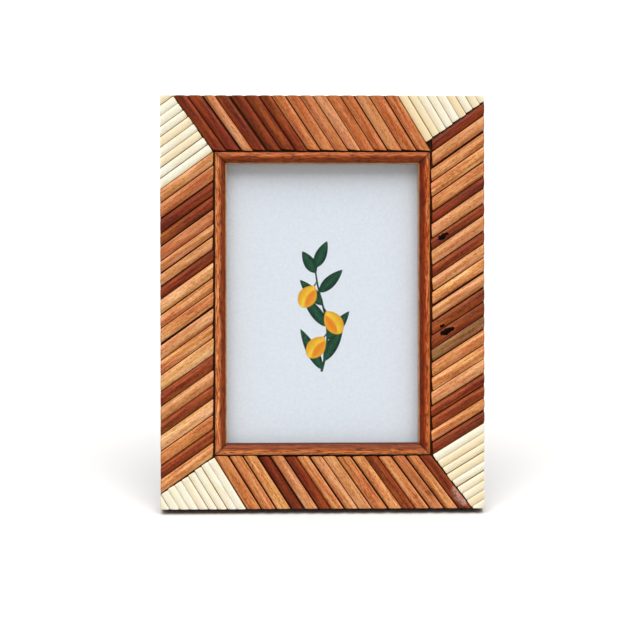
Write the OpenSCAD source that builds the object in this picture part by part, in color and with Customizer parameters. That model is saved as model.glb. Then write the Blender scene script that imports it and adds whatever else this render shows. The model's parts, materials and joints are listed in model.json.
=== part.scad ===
// Standing photo frame. Its face is laid with crowned hardwood slats and bone corner strips,
// and it leans back on an easel strut.
// Everything is laid out as on the bench: X to the right, Y up the frame, Z towards the viewer,
// with the back of the core at Z = 0. The module stand() then leans it back onto the table.

/* [Photo and glass] */
// Width of the photo
photo_w = 127; // [80:1:200]
// Height of the photo
photo_h = 178; // [120:1:260]
// How far the front lip covers each edge of the photo
lip_cover = 7.5; // [3:0.5:12]
// Gap between the photo and each wall of the pocket
photo_play = 1; // [0.6:0.1:2]
// Gap between the glass, card or board and each wall of the pocket
board_play = 0.5; // [0.2:0.1:1]
// Thickness of the glass
glass_t = 2; // [1:0.1:3]
// Thickness of the print
print_t = 0.3; // [0.2:0.05:0.6]
// Thickness of the backing card
card_t = 1.5; // [0.8:0.1:3]
// Thickness of the back board
board_t = 3.2; // [2:0.1:5]

/* [Core] */
// Width of the left and right rails
side_rail_w = 38.5; // [30:0.5:60]
// Width of the top and bottom rails, before the window is moved
end_rail_w = 39; // [31:0.5:60]
// How far the window sits below the middle
window_drop = 0.7; // [0:0.1:2]
// Thickness of the core
core_t = 12; // [10:0.5:20]

/* [Bead] */
// Width of the bead round the window
bead_w = 6.6; // [5.6:0.1:10]
// Height of the bead's top over the core
bead_h = 3.8; // [3:0.1:4.4]
// Height of the bead's outer side over the core
bead_outer_h = 2.2; // [1:0.1:2.8]
// Height of the bead's inner side over the core
bead_inner_h = 1.3; // [0.6:0.1:2.4]
// Distance of the bead's top line from its outer side
bead_peak = 2.8; // [2.2:0.1:3.6]
// Width of the bead's flat lip beside the window
bead_lip_w = 0.55; // [0.3:0.05:1]
// Thickness of the bead's inner leg, which lines the window
lining_t = 1; // [0.6:0.1:2]
// Width of the dark groove between slats and bead
groove_w = 0.8; // [0.4:0.1:2]
// Gap at each mitre of the bead
bead_mitre_gap = 0.2; // [0.05:0.01:0.4]

/* [Slats] */
// Spacing of the wooden slats along a rail
slat_pitch = 8.25; // [6:0.05:12]
// Gap between two wooden slats
slat_gap = 0.36; // [0.2:0.02:0.8]
// Height of a wooden slat at its long edges
slat_edge_h = 1.8; // [1.5:0.1:4]
// How far a wooden slat is crowned over its edges
slat_crown = 1.3; // [0.3:0.1:1.6]
// Spacing of the bone strips
bone_pitch = 4.9; // [4:0.1:8]
// Gap between two bone strips
bone_gap = 0.16; // [0.1:0.02:0.5]
// Height of a bone strip at its long edges
bone_edge_h = 2; // [1.5:0.1:4]
// How far a bone strip is crowned over its edges
bone_crown = 0.9; // [0.1:0.1:1.2]
// Slant of the first seam of the top rail, off square
top_first_slant = 36; // [20:0.5:40]
// Slant of the last seam of the top rail, off square
top_last_slant = 31; // [20:0.5:40]
// Slant of the first seam of the right rail, off square
right_first_slant = 35.5; // [20:0.5:40]
// Slant of the last seam of the right rail, off square
right_last_slant = 31.5; // [20:0.5:40]
// Slant of the first seam of the bottom rail, off square
bottom_first_slant = 31.5; // [20:0.5:40]
// Slant of the last seam of the bottom rail, off square
bottom_last_slant = 37.5; // [20:0.5:40]
// Slant of the first seam of the left rail, off square
left_first_slant = 36; // [20:0.5:40]
// Slant of the last seam of the left rail, off square
left_last_slant = 35; // [20:0.5:40]
// How far above the window the right rail's first slat starts
right_start_rise = 6.5; // [0:0.5:8]

/* [Strut] */
// How far the standing frame leans back, in degrees
lean = 14; // [8:0.5:20]
// How far the strut opens from the back, in degrees
strut_open = 28; // [22:0.5:40]
// Distance of the strut's hinge pin below the top of the back board
hinge_drop = 27.3; // [24:0.1:50]
// Width of the strut at the hinge
strut_top_w = 32; // [28:1:60]
// Width of the strut at the foot
strut_foot_w = 46; // [30:1:90]
// Size of the cut-off corners at the top of the strut
strut_clip = 4; // [2:0.5:8]
// Thickness of the strut
strut_t = 3; // [2:0.1:5]
// Gap between the folded strut and the back
strut_gap = 0.5; // [0.3:0.1:2]

/* [Hinge] */
// Width of the hinge
hinge_w = 26; // [20:1:28]
// Width of the middle knuckle
knuckle_w = 12; // [6:0.5:16]
// Gap beside the middle knuckle
knuckle_gap = 0.4; // [0.3:0.1:1]
// Gap between the knuckles and the back board
knuckle_air = 0.4; // [0.3:0.1:0.8]
// Gap between a leaf and the knuckles of the other leaf
leaf_gap = 0.7; // [0.5:0.1:1.5]
// Thickness of the hinge leaves
leaf_t = 0.8; // [0.5:0.1:1.2]
// Length of each hinge leaf from the pin
leaf_len = 16; // [14:0.5:22]
// Radius of the hinge pin
pin_r = 0.8; // [0.6:0.05:1]
// Wall of the knuckles round the pin
knuckle_wall = 0.9; // [0.6:0.1:1.2]
// Running clearance of the pin in the strut's knuckles
pin_clear = 0.05; // [0.02:0.01:0.1]
// Gap left at the stop when the strut is open
stop_gap = 0.1; // [0.05:0.05:0.5]
// Radius of the rivets' shanks
rivet_r = 1.2; // [0.8:0.1:1.6]
// Radius of the rivets' heads
rivet_head_r = 2.3; // [1.8:0.1:3]
// Height of the rivets' heads
rivet_head_h = 0.8; // [0.4:0.1:1.2]
// Distance of the rivets' heads from the side of their leaf
rivet_margin = 1.5; // [0.5:0.1:3]

/* [Turn buttons] */
// Length of a turn button
button_len = 21; // [16:0.5:26]
// Width of a turn button
button_w = 8; // [6:0.5:10]
// Width of a turn button at its tip
button_tip_w = 6; // [4:0.5:8]
// Thickness of a turn button
button_t = 1; // [0.6:0.1:1.6]
// Gap between a turn button and the back
button_gap = 0.15; // [0.1:0.05:0.5]
// Distance of each button's screw from the wall of the pocket
button_inset = 6; // [4.5:0.5:9]
// Distance of the buttons above and below the window's middle
button_rise = 62; // [45:1:75]
// Radius of the screws' shanks
screw_r = 1.4; // [1:0.1:1.8]
// Radius of the screws' heads
screw_head_r = 2.8; // [2.2:0.1:3.4]
// Height of the screws' heads
screw_head_h = 1.6; // [1:0.1:2.4]
// Length of the screws in the core
screw_len = 8; // [5:0.5:9]
// Running clearance of the screw in its turn button
screw_clear = 0.08; // [0.02:0.01:0.1]

/* [Hangers and nails] */
// Length of a saw-tooth hanger
hanger_len = 45; // [36:1:56]
// Width of a saw-tooth hanger
hanger_w = 7; // [6:0.5:9]
// Thickness of a saw-tooth hanger
hanger_t = 0.8; // [0.5:0.1:1.2]
// How far a saw-tooth hanger's middle stands off the back
hanger_standoff = 1.6; // [1:0.1:2.5]
// Length of a saw-tooth hanger's flat ends
hanger_tab = 8; // [6:0.5:9]
// Spacing of the saw teeth
tooth_pitch = 2.4; // [1.6:0.1:3]
// Width left at the root between two notches of the saw teeth
tooth_land = 0.4; // [0.2:0.1:0.8]
// Depth of the saw teeth
tooth_depth = 1.3; // [0.8:0.1:2]
// Distance of the hangers from the frame's outer edge
hanger_inset = 14; // [9:0.5:20]
// Radius of the hangers' nails
nail_r = 0.7; // [0.5:0.05:0.9]
// Radius of the nails' heads
nail_head_r = 1.7; // [1.2:0.1:2]
// Height of the nails' heads
nail_head_h = 0.7; // [0.4:0.1:1]
// Length of the nails in the core
nail_len = 7; // [4:0.5:9]
// Length of each arm of a mitre nail
vee_arm = 6; // [4:0.5:8]
// Thickness of a mitre nail
vee_t = 0.7; // [0.5:0.1:1]
// Depth of a mitre nail in the core
vee_depth = 7; // [4:0.5:9]
// Half the angle between a mitre nail's arms
vee_half = 35; // [25:1:45]

/* [Hidden] */
// Cut widths of neighbouring slats against each other, from the first seam of the rail
TOP_WIDTHS = [13.5, 14.5, 12.5, 14.5, 14.5, 14, 12.5, 13.5, 14, 13.5, 13, 14, 13.5, 14.5, 14.5, 14];
RIGHT_WIDTHS = [13, 15, 15, 15.5, 15, 11.5, 15, 11.5, 15.5, 12.5, 14, 14.5, 15.5, 13.5, 14, 13.5, 15,
    14, 14.5, 11, 13, 12.5, 12.5];
BOTTOM_WIDTHS = [14.5, 14.5, 14, 13, 14, 12.5, 12.5, 14, 14, 14.5, 14.5, 13, 14.5, 14.5, 13, 13.5];
LEFT_WIDTHS = [14, 16, 14, 13, 15, 12.5, 12.5, 13, 15, 14, 16, 16, 14.5, 16.5, 15, 15.5, 13, 16,
    14.5, 13, 14.5];
// Wood of neighbouring slats: D dark, M mid, L light, O olive brown
TOP_WOODS = "DDLDDDDMMLLMMLMM";
RIGHT_WOODS = "DLMMMDLDLDLMLDDOMMLDDMD";
BOTTOM_WOODS = "MMMDLDMLLMMDMLMD";
LEFT_WOODS = "LLDDLLLDLMMLMLDLDLMDM";

DARK = [0.44, 0.19, 0.11];
MID = [0.78, 0.49, 0.30];
LIGHT = [0.87, 0.63, 0.40];
OLIVE = [0.57, 0.43, 0.28];
BONE = [0.97, 0.95, 0.87];
BEAD = [0.70, 0.38, 0.23];
MDF = [0.36, 0.25, 0.18];
STEEL = [0.72, 0.73, 0.75];
BLACK = [0.10, 0.10, 0.11];

// Window, pocket and outside of the frame
window_w = photo_w - 2 * lip_cover;
window_h = photo_h - 2 * lip_cover;
outer_w = window_w + 2 * side_rail_w;
outer_h = window_h + 2 * end_rail_w;
mid_y = outer_h / 2 - window_drop;
pocket_w = photo_w + 2 * photo_play;
pocket_h = photo_h + 2 * photo_play;
pocket_d = board_t + card_t + print_t + glass_t;
panel_w = pocket_w - 2 * board_play;
panel_h = pocket_h - 2 * board_play;

// Field of the slats, from the outer edge to the groove
field_x = window_w / 2 + bead_w + groove_w;
field_y = window_h / 2 + bead_w + groove_w;
zone_top = outer_h - mid_y - field_y;
zone_bottom = mid_y - field_y;
zone_side = outer_w / 2 - field_x;
slat_top_h = slat_edge_h + slat_crown;
bone_top_h = bone_edge_h + bone_crown;

// Strut, as it hangs closed: its hinge pin, its faces and its heel
hinge_h = mid_y + panel_h / 2 - hinge_drop;
knuckle_r = pin_r + knuckle_wall;
pin_d = knuckle_r + knuckle_air;
strut_back = strut_gap + strut_t;
heel_off = strut_back - pin_d;
heel_len = (pin_d - leaf_t - stop_gap + heel_off * cos(strut_open)) / sin(strut_open);
leaf_clear = knuckle_r + leaf_gap;
rivet_y = (leaf_clear + leaf_len) / 2;
rivet_x = hinge_w / 2 - rivet_head_r - rivet_margin;

// Where the leaning frame stands, with the middle of its footprint at Y = 0
swing_rest = strut_open - lean;
hinge_back = hinge_h * sin(lean) + pin_d * cos(lean);
hinge_up = hinge_h * cos(lean) - pin_d * sin(lean);
foot_back = hinge_back + hinge_up * tan(swing_rest) + heel_off / cos(swing_rest);
strut_reach = (hinge_up + heel_off * sin(swing_rest)) / cos(swing_rest);
face_front = (core_t + max(slat_top_h, bone_top_h)) * cos(lean);
stand_y = (face_front - foot_back) / 2;

// A length past the whole frame, how far a cut runs past the faces it opens, and facets of a round
far = 4 * outer_h;
over = 1;
$fn = 64;

// Leans what lies on the bench back onto the table
module stand() {
    translate([0, stand_y, 0])
        rotate([90 - lean, 0, 0])
            children();
}

// Opens what is drawn with the strut closed
module open_strut() {
    translate([0, hinge_h, -pin_d])
        rotate([strut_open, 0, 0])
            translate([0, -hinge_h, pin_d])
                children();
}

// Corners of a rectangle round the window's middle: top left, top right, bottom right, bottom left
function window_corners(half_w, half_h) = [
    [-half_w, mid_y + half_h], [half_w, mid_y + half_h],
    [half_w, mid_y - half_h], [-half_w, mid_y - half_h]];

OUTER = [[-outer_w / 2, outer_h], [outer_w / 2, outer_h], [outer_w / 2, 0], [-outer_w / 2, 0]];
FIELD = window_corners(field_x, field_y);
CORE_WINDOW = window_corners(window_w / 2 + lining_t, window_h / 2 + lining_t);
POCKET = window_corners(pocket_w / 2, pocket_h / 2);

// One mitred rail of the core, between corners a and b of the frame
module core_rail(a, b) {
    color(MDF)
        stand()
            difference() {
                linear_extrude(core_t)
                    polygon([OUTER[a], OUTER[b], CORE_WINDOW[b], CORE_WINDOW[a]]);
                translate([0, 0, -over])
                    linear_extrude(pocket_d + over)
                        polygon(POCKET);
                mitre_vees();
                hanger_nail_holes();
                button_screw_holes();
            }
}

// Steel vees driven across the mitres from the back
module mitre_vees() {
    for (c = [0:3]) {
        middle = (OUTER[c] + POCKET[c]) / 2;
        run = POCKET[c] - OUTER[c];
        translate([middle[0], middle[1], 0])
            rotate([0, 0, atan2(run[1], run[0])])
                linear_extrude(vee_depth)
                    vee_plan();
    }
}

module vee_plan() {
    out = vee_arm * [cos(vee_half), sin(vee_half)];
    back = out + vee_t * [sin(vee_half), -cos(vee_half)];
    polygon([[0, 0], out, back, [vee_t / sin(vee_half), 0], [back[0], -back[1]], [out[0], -out[1]]]);
}

module hanger_nail_holes() {
    at_hangers() at_hanger_tabs() cylinder(r = nail_r, h = nail_len);
}

module button_screw_holes() {
    at_buttons() cylinder(r = screw_r, h = screw_len);
}

// Half of the bead's rounded top, from its side at x = 0 to its top line at x = run
module bead_half(run, side_h) {
    r = crown_radius(2 * run, bead_h - side_h);
    square([run, side_h]);
    intersection() {
        square([run, bead_h]);
        translate([run, bead_h - r]) circle(r = r);
    }
}

// The bead from its outer side, at x = 0, to its flat lip and the leg that lines the window
module bead_profile() {
    bead_half(bead_peak, bead_outer_h);
    translate([bead_w - bead_lip_w, 0])
        mirror([1, 0])
            bead_half(bead_w - bead_lip_w - bead_peak, bead_inner_h);
    translate([bead_w - bead_lip_w, 0]) square([bead_lip_w, bead_inner_h]);
    translate([bead_w - lining_t, pocket_d - core_t]) square([lining_t, core_t - pocket_d + bead_inner_h]);
}

// One mitred length of bead: turned by turns quarter turns from the bottom one
module bead(turns) {
    along = turns % 2 == 0 ? window_w / 2 : window_h / 2;
    across = turns % 2 == 0 ? window_h / 2 : window_w / 2;
    reach = along + bead_w;
    gap = bead_mitre_gap / 2;
    color(BEAD)
        stand()
            translate([0, mid_y, 0])
                rotate([0, 0, 90 * turns])
                    intersection() {
                        translate([-reach, -across - bead_w, core_t])
                            rotate([90, 0, 90])
                                linear_extrude(2 * reach)
                                    bead_profile();
                        linear_extrude(core_t + 2 * bead_h)
                            polygon([[gap - reach, -across - bead_w], [reach - gap, -across - bead_w],
                                [along - gap, -across], [gap - along, -across]]);
                    }
}

// A rail's field of slats: [inner start, inner end, outer start, outer end, widths, woods]
top_field = [FIELD[0], FIELD[1],
    [FIELD[0][0] - zone_top * tan(top_first_slant), outer_h],
    [FIELD[1][0] - zone_top * tan(top_last_slant), outer_h], TOP_WIDTHS, TOP_WOODS];
right_start = FIELD[1] + [0, right_start_rise];
right_field = [right_start, FIELD[2],
    [outer_w / 2, right_start[1] + zone_side * tan(right_first_slant)],
    [outer_w / 2, FIELD[2][1] + zone_side * tan(right_last_slant)], RIGHT_WIDTHS, RIGHT_WOODS];
bottom_field = [FIELD[3], FIELD[2],
    [FIELD[3][0] + zone_bottom * tan(bottom_first_slant), 0],
    [FIELD[2][0] + zone_bottom * tan(bottom_last_slant), 0], BOTTOM_WIDTHS, BOTTOM_WOODS];
left_field = [FIELD[0], FIELD[3],
    [-outer_w / 2, FIELD[0][1] - zone_side * tan(left_first_slant)],
    [-outer_w / 2, FIELD[3][1] - zone_side * tan(left_last_slant)], LEFT_WIDTHS, LEFT_WOODS];

function total(list, n) = n <= 0 ? 0 : list[(n - 1) % len(list)] + total(list, n - 1);
function slat_count(field) = max(4, round(norm(field[3] - field[2]) / slat_pitch));
function seam_share(field, k) = total(field[4], k) / total(field[4], slat_count(field));
function between(a, b, t) = a + (b - a) * t;
function heading(v) = atan2(v[1], v[0]);
function cross_width(v, along) = abs(v[0] * along[1] - v[1] * along[0]) / norm(along);
function crown_radius(width, crown) = (width * width / 4 + crown * crown) / (2 * crown);

// The four corners of slat k, drawn in from its seams by half a gap
function slat_plan(field, k) =
    let (a = between(field[2], field[3], seam_share(field, k)),
         b = between(field[2], field[3], seam_share(field, k + 1)),
         c = between(field[0], field[1], seam_share(field, k + 1)),
         d = between(field[0], field[1], seam_share(field, k)),
         pull = slat_gap / 2 * norm(b - a) / cross_width(b - a, (c - b)),
         out_dir = (b - a) / norm(b - a),
         in_dir = (c - d) / norm(c - d))
    [a + out_dir * pull, b - out_dir * pull, c - in_dir * pull, d + in_dir * pull];

// A flat strip with a crowned top, along the line from start to end, cut to the outline given
module crowned(start, end, width, edge_h, crown) {
    r = crown_radius(width, crown);
    stand()
        translate([0, 0, core_t])
            intersection() {
                linear_extrude(edge_h + crown)
                    children();
                translate([start[0], start[1], edge_h + crown - r])
                    rotate([0, 0, heading(end - start)])
                        translate([-far / 2, 0, 0])
                            rotate([0, 90, 0])
                                cylinder(r = r, h = far);
            }
}

// All slats of one wood in a rail's field
module rail_slats(field, wood) {
    for (k = [0:slat_count(field) - 1])
        if (field[5][k % len(field[5])] == wood) {
            plan = slat_plan(field, k);
            start = (plan[0] + plan[1]) / 2;
            end = (plan[2] + plan[3]) / 2;
            crowned(start, end, cross_width(plan[1] - plan[0], end - start), slat_edge_h, slat_crown)
                polygon(plan);
        }
}

// Bone strips in a corner: laid from the line outer_end to inner_end out to the frame's corner
module bone_strips(region, outer_end, inner_end, corner) {
    along = (inner_end - outer_end) / norm(inner_end - outer_end);
    side = [-along[1], along[0]];
    reach = (corner - outer_end) * side;
    count = max(2, round(reach / bone_pitch));
    pitch = reach / count;
    color(BONE)
        for (k = [0:count - 1])
            bone_strip(region, outer_end + side * ((k + 0.5) * pitch), along, pitch - bone_gap);
}

module bone_strip(region, start, along, width) {
    crowned(start, start + along, width, bone_edge_h, bone_crown)
        intersection() {
            polygon(region);
            translate(start)
                rotate(heading(along))
                    translate([-far / 2, -width / 2])
                        square([far, width]);
        }
}

// A flat panel in the pocket, its back at height z over the back of the core
module pocket_panel(w, h, z, t) {
    translate([-w / 2, mid_y - h / 2, z])
        cube([w, h, t]);
}

// Places of the turn buttons' screws, with the tongue pointing to the window
function button_place(side, row) = [side * (pocket_w / 2 + button_inset), mid_y + row * button_rise, 0];

module at_buttons() {
    for (side = [-1, 1])
        for (row = [-1, 1])
            translate(button_place(side, row))
                children();
}

module turn_button(side, row) {
    eye_r = button_w / 2;
    tongue_r = button_tip_w / 2;
    tongue_x = button_len - eye_r - tongue_r;
    color(STEEL)
        stand()
            translate(button_place(side, row))
                rotate([0, 0, side > 0 ? 180 : 0])
                    translate([0, 0, -button_gap - button_t])
                        difference() {
                            linear_extrude(button_t)
                                union() {
                                    circle(r = eye_r);
                                    polygon([[0, -eye_r], [tongue_x, -tongue_r],
                                        [tongue_x, tongue_r], [0, eye_r]]);
                                    translate([tongue_x, 0]) circle(r = tongue_r);
                                }
                            translate([0, 0, -over])
                                cylinder(r = screw_r + screw_clear, h = button_t + 2 * over);
                        }
}

// A saw-tooth hanger with its length along X and its middle at the origin, standing off to -Z.
// Its strap is bent at half a right angle, and ease is how far a bend's inner corner moves along it.
module hanger() {
    half = hanger_len / 2;
    bend = hanger_standoff;
    ease = hanger_t * tan(45 / 2);
    bar = half - hanger_tab - bend;
    teeth = floor((2 * bar - 2 * bend) / tooth_pitch);
    difference() {
        translate([0, hanger_w / 2, 0])
            rotate([90, 0, 0])
                linear_extrude(hanger_w)
                    polygon([[-half, 0], [-half, -hanger_t], [hanger_tab - half, -hanger_t],
                        [-bar, -hanger_t - bend], [bar, -hanger_t - bend],
                        [half - hanger_tab, -hanger_t], [half, -hanger_t], [half, 0],
                        [half - hanger_tab + ease, 0], [bar + ease, -bend],
                        [-bar - ease, -bend], [hanger_tab - ease - half, 0]]);
        for (k = [0:teeth - 1])
            translate([(k - (teeth - 1) / 2) * tooth_pitch, -hanger_w / 2, -bend - hanger_t - over])
                linear_extrude(hanger_t + 2 * over)
                    notch(tooth_pitch - tooth_land);
        at_hanger_tabs() translate([0, 0, -hanger_t - over]) cylinder(r = nail_r, h = hanger_t + 2 * over);
    }
}

// The notch beside a saw tooth, open to -Y
module notch(w) {
    polygon([[-w / 2, -over], [w / 2, -over], [w / 2, 0], [0, tooth_depth], [-w / 2, 0]]);
}

module at_hanger_tabs() {
    for (end = [-1, 1])
        translate([end * (hanger_len - hanger_tab) / 2, 0, 0])
            children();
}

module at_top_hanger() {
    translate([0, outer_h - hanger_inset, 0])
        children();
}

module at_side_hanger() {
    translate([outer_w / 2 - hanger_inset, mid_y, 0])
        rotate([0, 0, -90])
            children();
}

module at_hangers() {
    at_top_hanger() children();
    at_side_hanger() children();
}

// A domed fastener through to z = depth, its head standing on -Z at z = seat
module fastener(shank_r, head_r, head_h, seat, depth) {
    dome_r = crown_radius(2 * head_r, head_h);
    translate([0, 0, seat])
        cylinder(r = shank_r, h = depth - seat);
    translate([0, 0, seat - head_h])
        intersection() {
            cylinder(r = head_r, h = head_h);
            translate([0, 0, dome_r]) sphere(r = dome_r);
        }
}

module core_top_rail() { core_rail(0, 1); }
module core_right_rail() { core_rail(1, 2); }
module core_bottom_rail() { core_rail(2, 3); }
module core_left_rail() { core_rail(3, 0); }

module bead_bottom() { bead(0); }
module bead_right() { bead(1); }
module bead_top() { bead(2); }
module bead_left() { bead(3); }

module top_slats_dark() { color(DARK) rail_slats(top_field, "D"); }
module top_slats_mid() { color(MID) rail_slats(top_field, "M"); }
module top_slats_light() { color(LIGHT) rail_slats(top_field, "L"); }
module right_slats_dark() { color(DARK) rail_slats(right_field, "D"); }
module right_slats_mid() { color(MID) rail_slats(right_field, "M"); }
module right_slats_light() { color(LIGHT) rail_slats(right_field, "L"); }
module right_slat_olive() { color(OLIVE) rail_slats(right_field, "O"); }
module bottom_slats_dark() { color(DARK) rail_slats(bottom_field, "D"); }
module bottom_slats_mid() { color(MID) rail_slats(bottom_field, "M"); }
module bottom_slats_light() { color(LIGHT) rail_slats(bottom_field, "L"); }
module left_slats_dark() { color(DARK) rail_slats(left_field, "D"); }
module left_slats_mid() { color(MID) rail_slats(left_field, "M"); }
module left_slats_light() { color(LIGHT) rail_slats(left_field, "L"); }

module bone_corner_top_left() {
    bone_strips([top_field[2], OUTER[0], left_field[2], FIELD[0]], left_field[2], FIELD[0], OUTER[0]);
}

module bone_corner_top_right() {
    bone_strips([top_field[3], OUTER[1], right_field[2], right_start, FIELD[1]],
        top_field[3], FIELD[1], OUTER[1]);
}

module bone_corner_bottom_right() {
    bone_strips([right_field[3], OUTER[2], bottom_field[3], FIELD[2]], right_field[3], FIELD[2], OUTER[2]);
}

module bone_corner_bottom_left() {
    bone_strips([bottom_field[2], OUTER[3], left_field[3], FIELD[3]], bottom_field[2], FIELD[3], OUTER[3]);
}

module glass() {
    color([0.85, 0.93, 0.95, 0.3]) stand() pocket_panel(panel_w, panel_h, pocket_d - glass_t, glass_t);
}

module print() {
    color([0.90, 0.91, 0.93]) stand() pocket_panel(photo_w, photo_h, board_t + card_t, print_t);
}

module backing_card() {
    color([0.80, 0.76, 0.68]) stand() pocket_panel(panel_w, panel_h, board_t, card_t);
}

module back_board() {
    color(BLACK)
        stand()
            difference() {
                pocket_panel(panel_w, panel_h, 0, board_t);
                at_board_rivets() cylinder(r = rivet_r, h = board_t);
            }
}

module at_board_rivets() {
    for (side = [-1, 1])
        translate([side * rivet_x, hinge_h + rivet_y, 0])
            children();
}

module at_strut_rivets() {
    for (side = [-1, 1])
        translate([side * rivet_x, hinge_h - rivet_y, 0])
            children();
}

// The strut, tapered and cut level where it meets the table
module strut() {
    color(BLACK)
        difference() {
            stand()
                open_strut()
                    difference() {
                        translate([0, 0, -strut_back])
                            linear_extrude(strut_t)
                                strut_outline(hinge_h - leaf_clear, hinge_h - strut_reach);
                        at_strut_rivets()
                            translate([0, 0, -strut_back - over])
                                cylinder(r = rivet_r, h = strut_t + 2 * over);
                    }
            translate([-far / 2, -far / 2, -far])
                cube([far, far, far]);
        }
}

module strut_outline(top_y, foot_y) {
    top = strut_top_w / 2;
    foot = strut_foot_w / 2;
    polygon([[-top, top_y - strut_clip], [strut_clip - top, top_y],
        [top - strut_clip, top_y], [top, top_y - strut_clip],
        [foot, foot_y], [foot, foot_y - strut_t], [-foot, foot_y - strut_t], [-foot, foot_y]]);
}

module knuckle(x0, x1) {
    translate([x0, hinge_h, -pin_d])
        rotate([0, 90, 0])
            cylinder(r = knuckle_r, h = x1 - x0);
}

module pin_bore(r) {
    translate([-hinge_w, hinge_h, -pin_d])
        rotate([0, 90, 0])
            cylinder(r = r, h = 2 * hinge_w);
}

// Leaf on the back board, with the middle knuckle
module board_hinge_leaf() {
    color(STEEL)
        stand()
            difference() {
                union() {
                    translate([-hinge_w / 2, hinge_h + leaf_clear, -leaf_t])
                        cube([hinge_w, leaf_len - leaf_clear, leaf_t]);
                    translate([-knuckle_w / 2, hinge_h, -leaf_t])
                        cube([knuckle_w, leaf_clear + over, leaf_t]);
                    knuckle(-knuckle_w / 2, knuckle_w / 2);
                }
                pin_bore(pin_r);
                at_board_rivets()
                    translate([0, 0, -leaf_t - over])
                        cylinder(r = rivet_r, h = leaf_t + 2 * over);
            }
}

// Leaf on the strut, with the outer knuckles and the heels that stop the strut when it is open
module strut_hinge_leaf() {
    inner_x = knuckle_w / 2 + knuckle_gap;
    ear_w = hinge_w / 2 - inner_x;
    color(STEEL)
        stand()
            open_strut()
                difference() {
                    union() {
                        translate([-hinge_w / 2, hinge_h - leaf_len, -strut_back - leaf_t])
                            cube([hinge_w, leaf_len - leaf_clear, leaf_t]);
                        for (side = [0, 1])
                            mirror([side, 0, 0]) {
                                translate([inner_x, hinge_h - leaf_clear - over, -strut_back - leaf_t])
                                    cube([ear_w, leaf_clear + over + heel_len, leaf_t]);
                                knuckle(inner_x, hinge_w / 2);
                            }
                    }
                    pin_bore(pin_r + pin_clear);
                    at_strut_rivets()
                        translate([0, 0, -strut_back - leaf_t - over])
                            cylinder(r = rivet_r, h = leaf_t + 2 * over);
                }
}

module hinge_pin() {
    color(STEEL)
        stand()
            translate([-hinge_w / 2, hinge_h, -pin_d])
                rotate([0, 90, 0])
                    cylinder(r = pin_r, h = hinge_w);
}

module board_rivets() {
    color(STEEL)
        stand()
            at_board_rivets()
                fastener(rivet_r, rivet_head_r, rivet_head_h, -leaf_t, board_t);
}

module strut_rivets() {
    color(STEEL)
        stand()
            open_strut()
                at_strut_rivets()
                    fastener(rivet_r, rivet_head_r, rivet_head_h, -strut_back - leaf_t, -strut_gap);
}

module turn_button_top_left() { turn_button(-1, 1); }
module turn_button_top_right() { turn_button(1, 1); }
module turn_button_bottom_left() { turn_button(-1, -1); }
module turn_button_bottom_right() { turn_button(1, -1); }

module button_screws() {
    color(STEEL)
        stand()
            at_buttons()
                fastener(screw_r, screw_head_r, screw_head_h, -2 * button_gap - button_t, screw_len);
}

module top_hanger() { color(STEEL) stand() at_top_hanger() hanger(); }
module side_hanger() { color(STEEL) stand() at_side_hanger() hanger(); }

module hanger_nails() {
    color(STEEL)
        stand()
            at_hangers()
                at_hanger_tabs()
                    fastener(nail_r, nail_head_r, nail_head_h, -hanger_t, nail_len);
}

module mitre_nails() { color(STEEL) stand() mitre_vees(); }

core_top_rail();
core_right_rail();
core_bottom_rail();
core_left_rail();
bead_top();
bead_right();
bead_bottom();
bead_left();
top_slats_dark();
top_slats_mid();
top_slats_light();
right_slats_dark();
right_slats_mid();
right_slats_light();
right_slat_olive();
bottom_slats_dark();
bottom_slats_mid();
bottom_slats_light();
left_slats_dark();
left_slats_mid();
left_slats_light();
bone_corner_top_left();
bone_corner_top_right();
bone_corner_bottom_right();
bone_corner_bottom_left();
glass();
print();
backing_card();
back_board();
strut();
board_hinge_leaf();
strut_hinge_leaf();
hinge_pin();
board_rivets();
strut_rivets();
turn_button_top_left();
turn_button_top_right();
turn_button_bottom_left();
turn_button_bottom_right();
button_screws();
top_hanger();
side_hanger();
hanger_nails();
mitre_nails();
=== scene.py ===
# Looks of a standing photo frame: crowned hardwood slats laid on the slant, bone strips in the
# corners, a mitred bead round the window, glass over a print, and a flocked back with its strut.
# Shapes are made in millimetres on the bench, with X to the right, Y up the frame and Z towards
# the viewer, as the part itself is, and are stood up in metres last.
import json
import math
import random

import bmesh
import bpy
from mathutils import Matrix, Vector, noise


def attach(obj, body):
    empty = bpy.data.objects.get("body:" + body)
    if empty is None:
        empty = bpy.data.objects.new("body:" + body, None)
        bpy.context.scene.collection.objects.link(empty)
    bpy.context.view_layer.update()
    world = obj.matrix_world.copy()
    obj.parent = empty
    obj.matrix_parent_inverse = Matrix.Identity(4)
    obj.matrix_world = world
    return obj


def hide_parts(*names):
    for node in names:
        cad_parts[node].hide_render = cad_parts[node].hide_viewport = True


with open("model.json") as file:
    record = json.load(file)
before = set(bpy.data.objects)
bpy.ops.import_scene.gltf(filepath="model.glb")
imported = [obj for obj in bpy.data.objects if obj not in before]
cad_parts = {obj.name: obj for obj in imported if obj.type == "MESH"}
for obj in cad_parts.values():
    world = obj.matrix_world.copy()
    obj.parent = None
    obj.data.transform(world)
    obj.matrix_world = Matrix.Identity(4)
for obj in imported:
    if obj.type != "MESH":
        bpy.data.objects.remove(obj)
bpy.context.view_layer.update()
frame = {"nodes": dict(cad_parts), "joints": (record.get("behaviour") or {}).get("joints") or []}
# Sanding reads this noise, which would start from the clock without a seed
noise.seed_set(31)

MM = 0.001
SNAP = 0.01

# Camera, from the photograph: it looks square at the leaning face
PHOTO_SIDE = 640
FOCAL_PIXELS = 2228
SENSOR_W = 36
CAMERA_DISTANCE = 1300
CAMERA_TARGET = (-1.55, 110.17, 13)
CAMERA_YAW = 1.85
CAMERA_PITCH = 14.44
CAMERA_ROLL = 0.368

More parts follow.
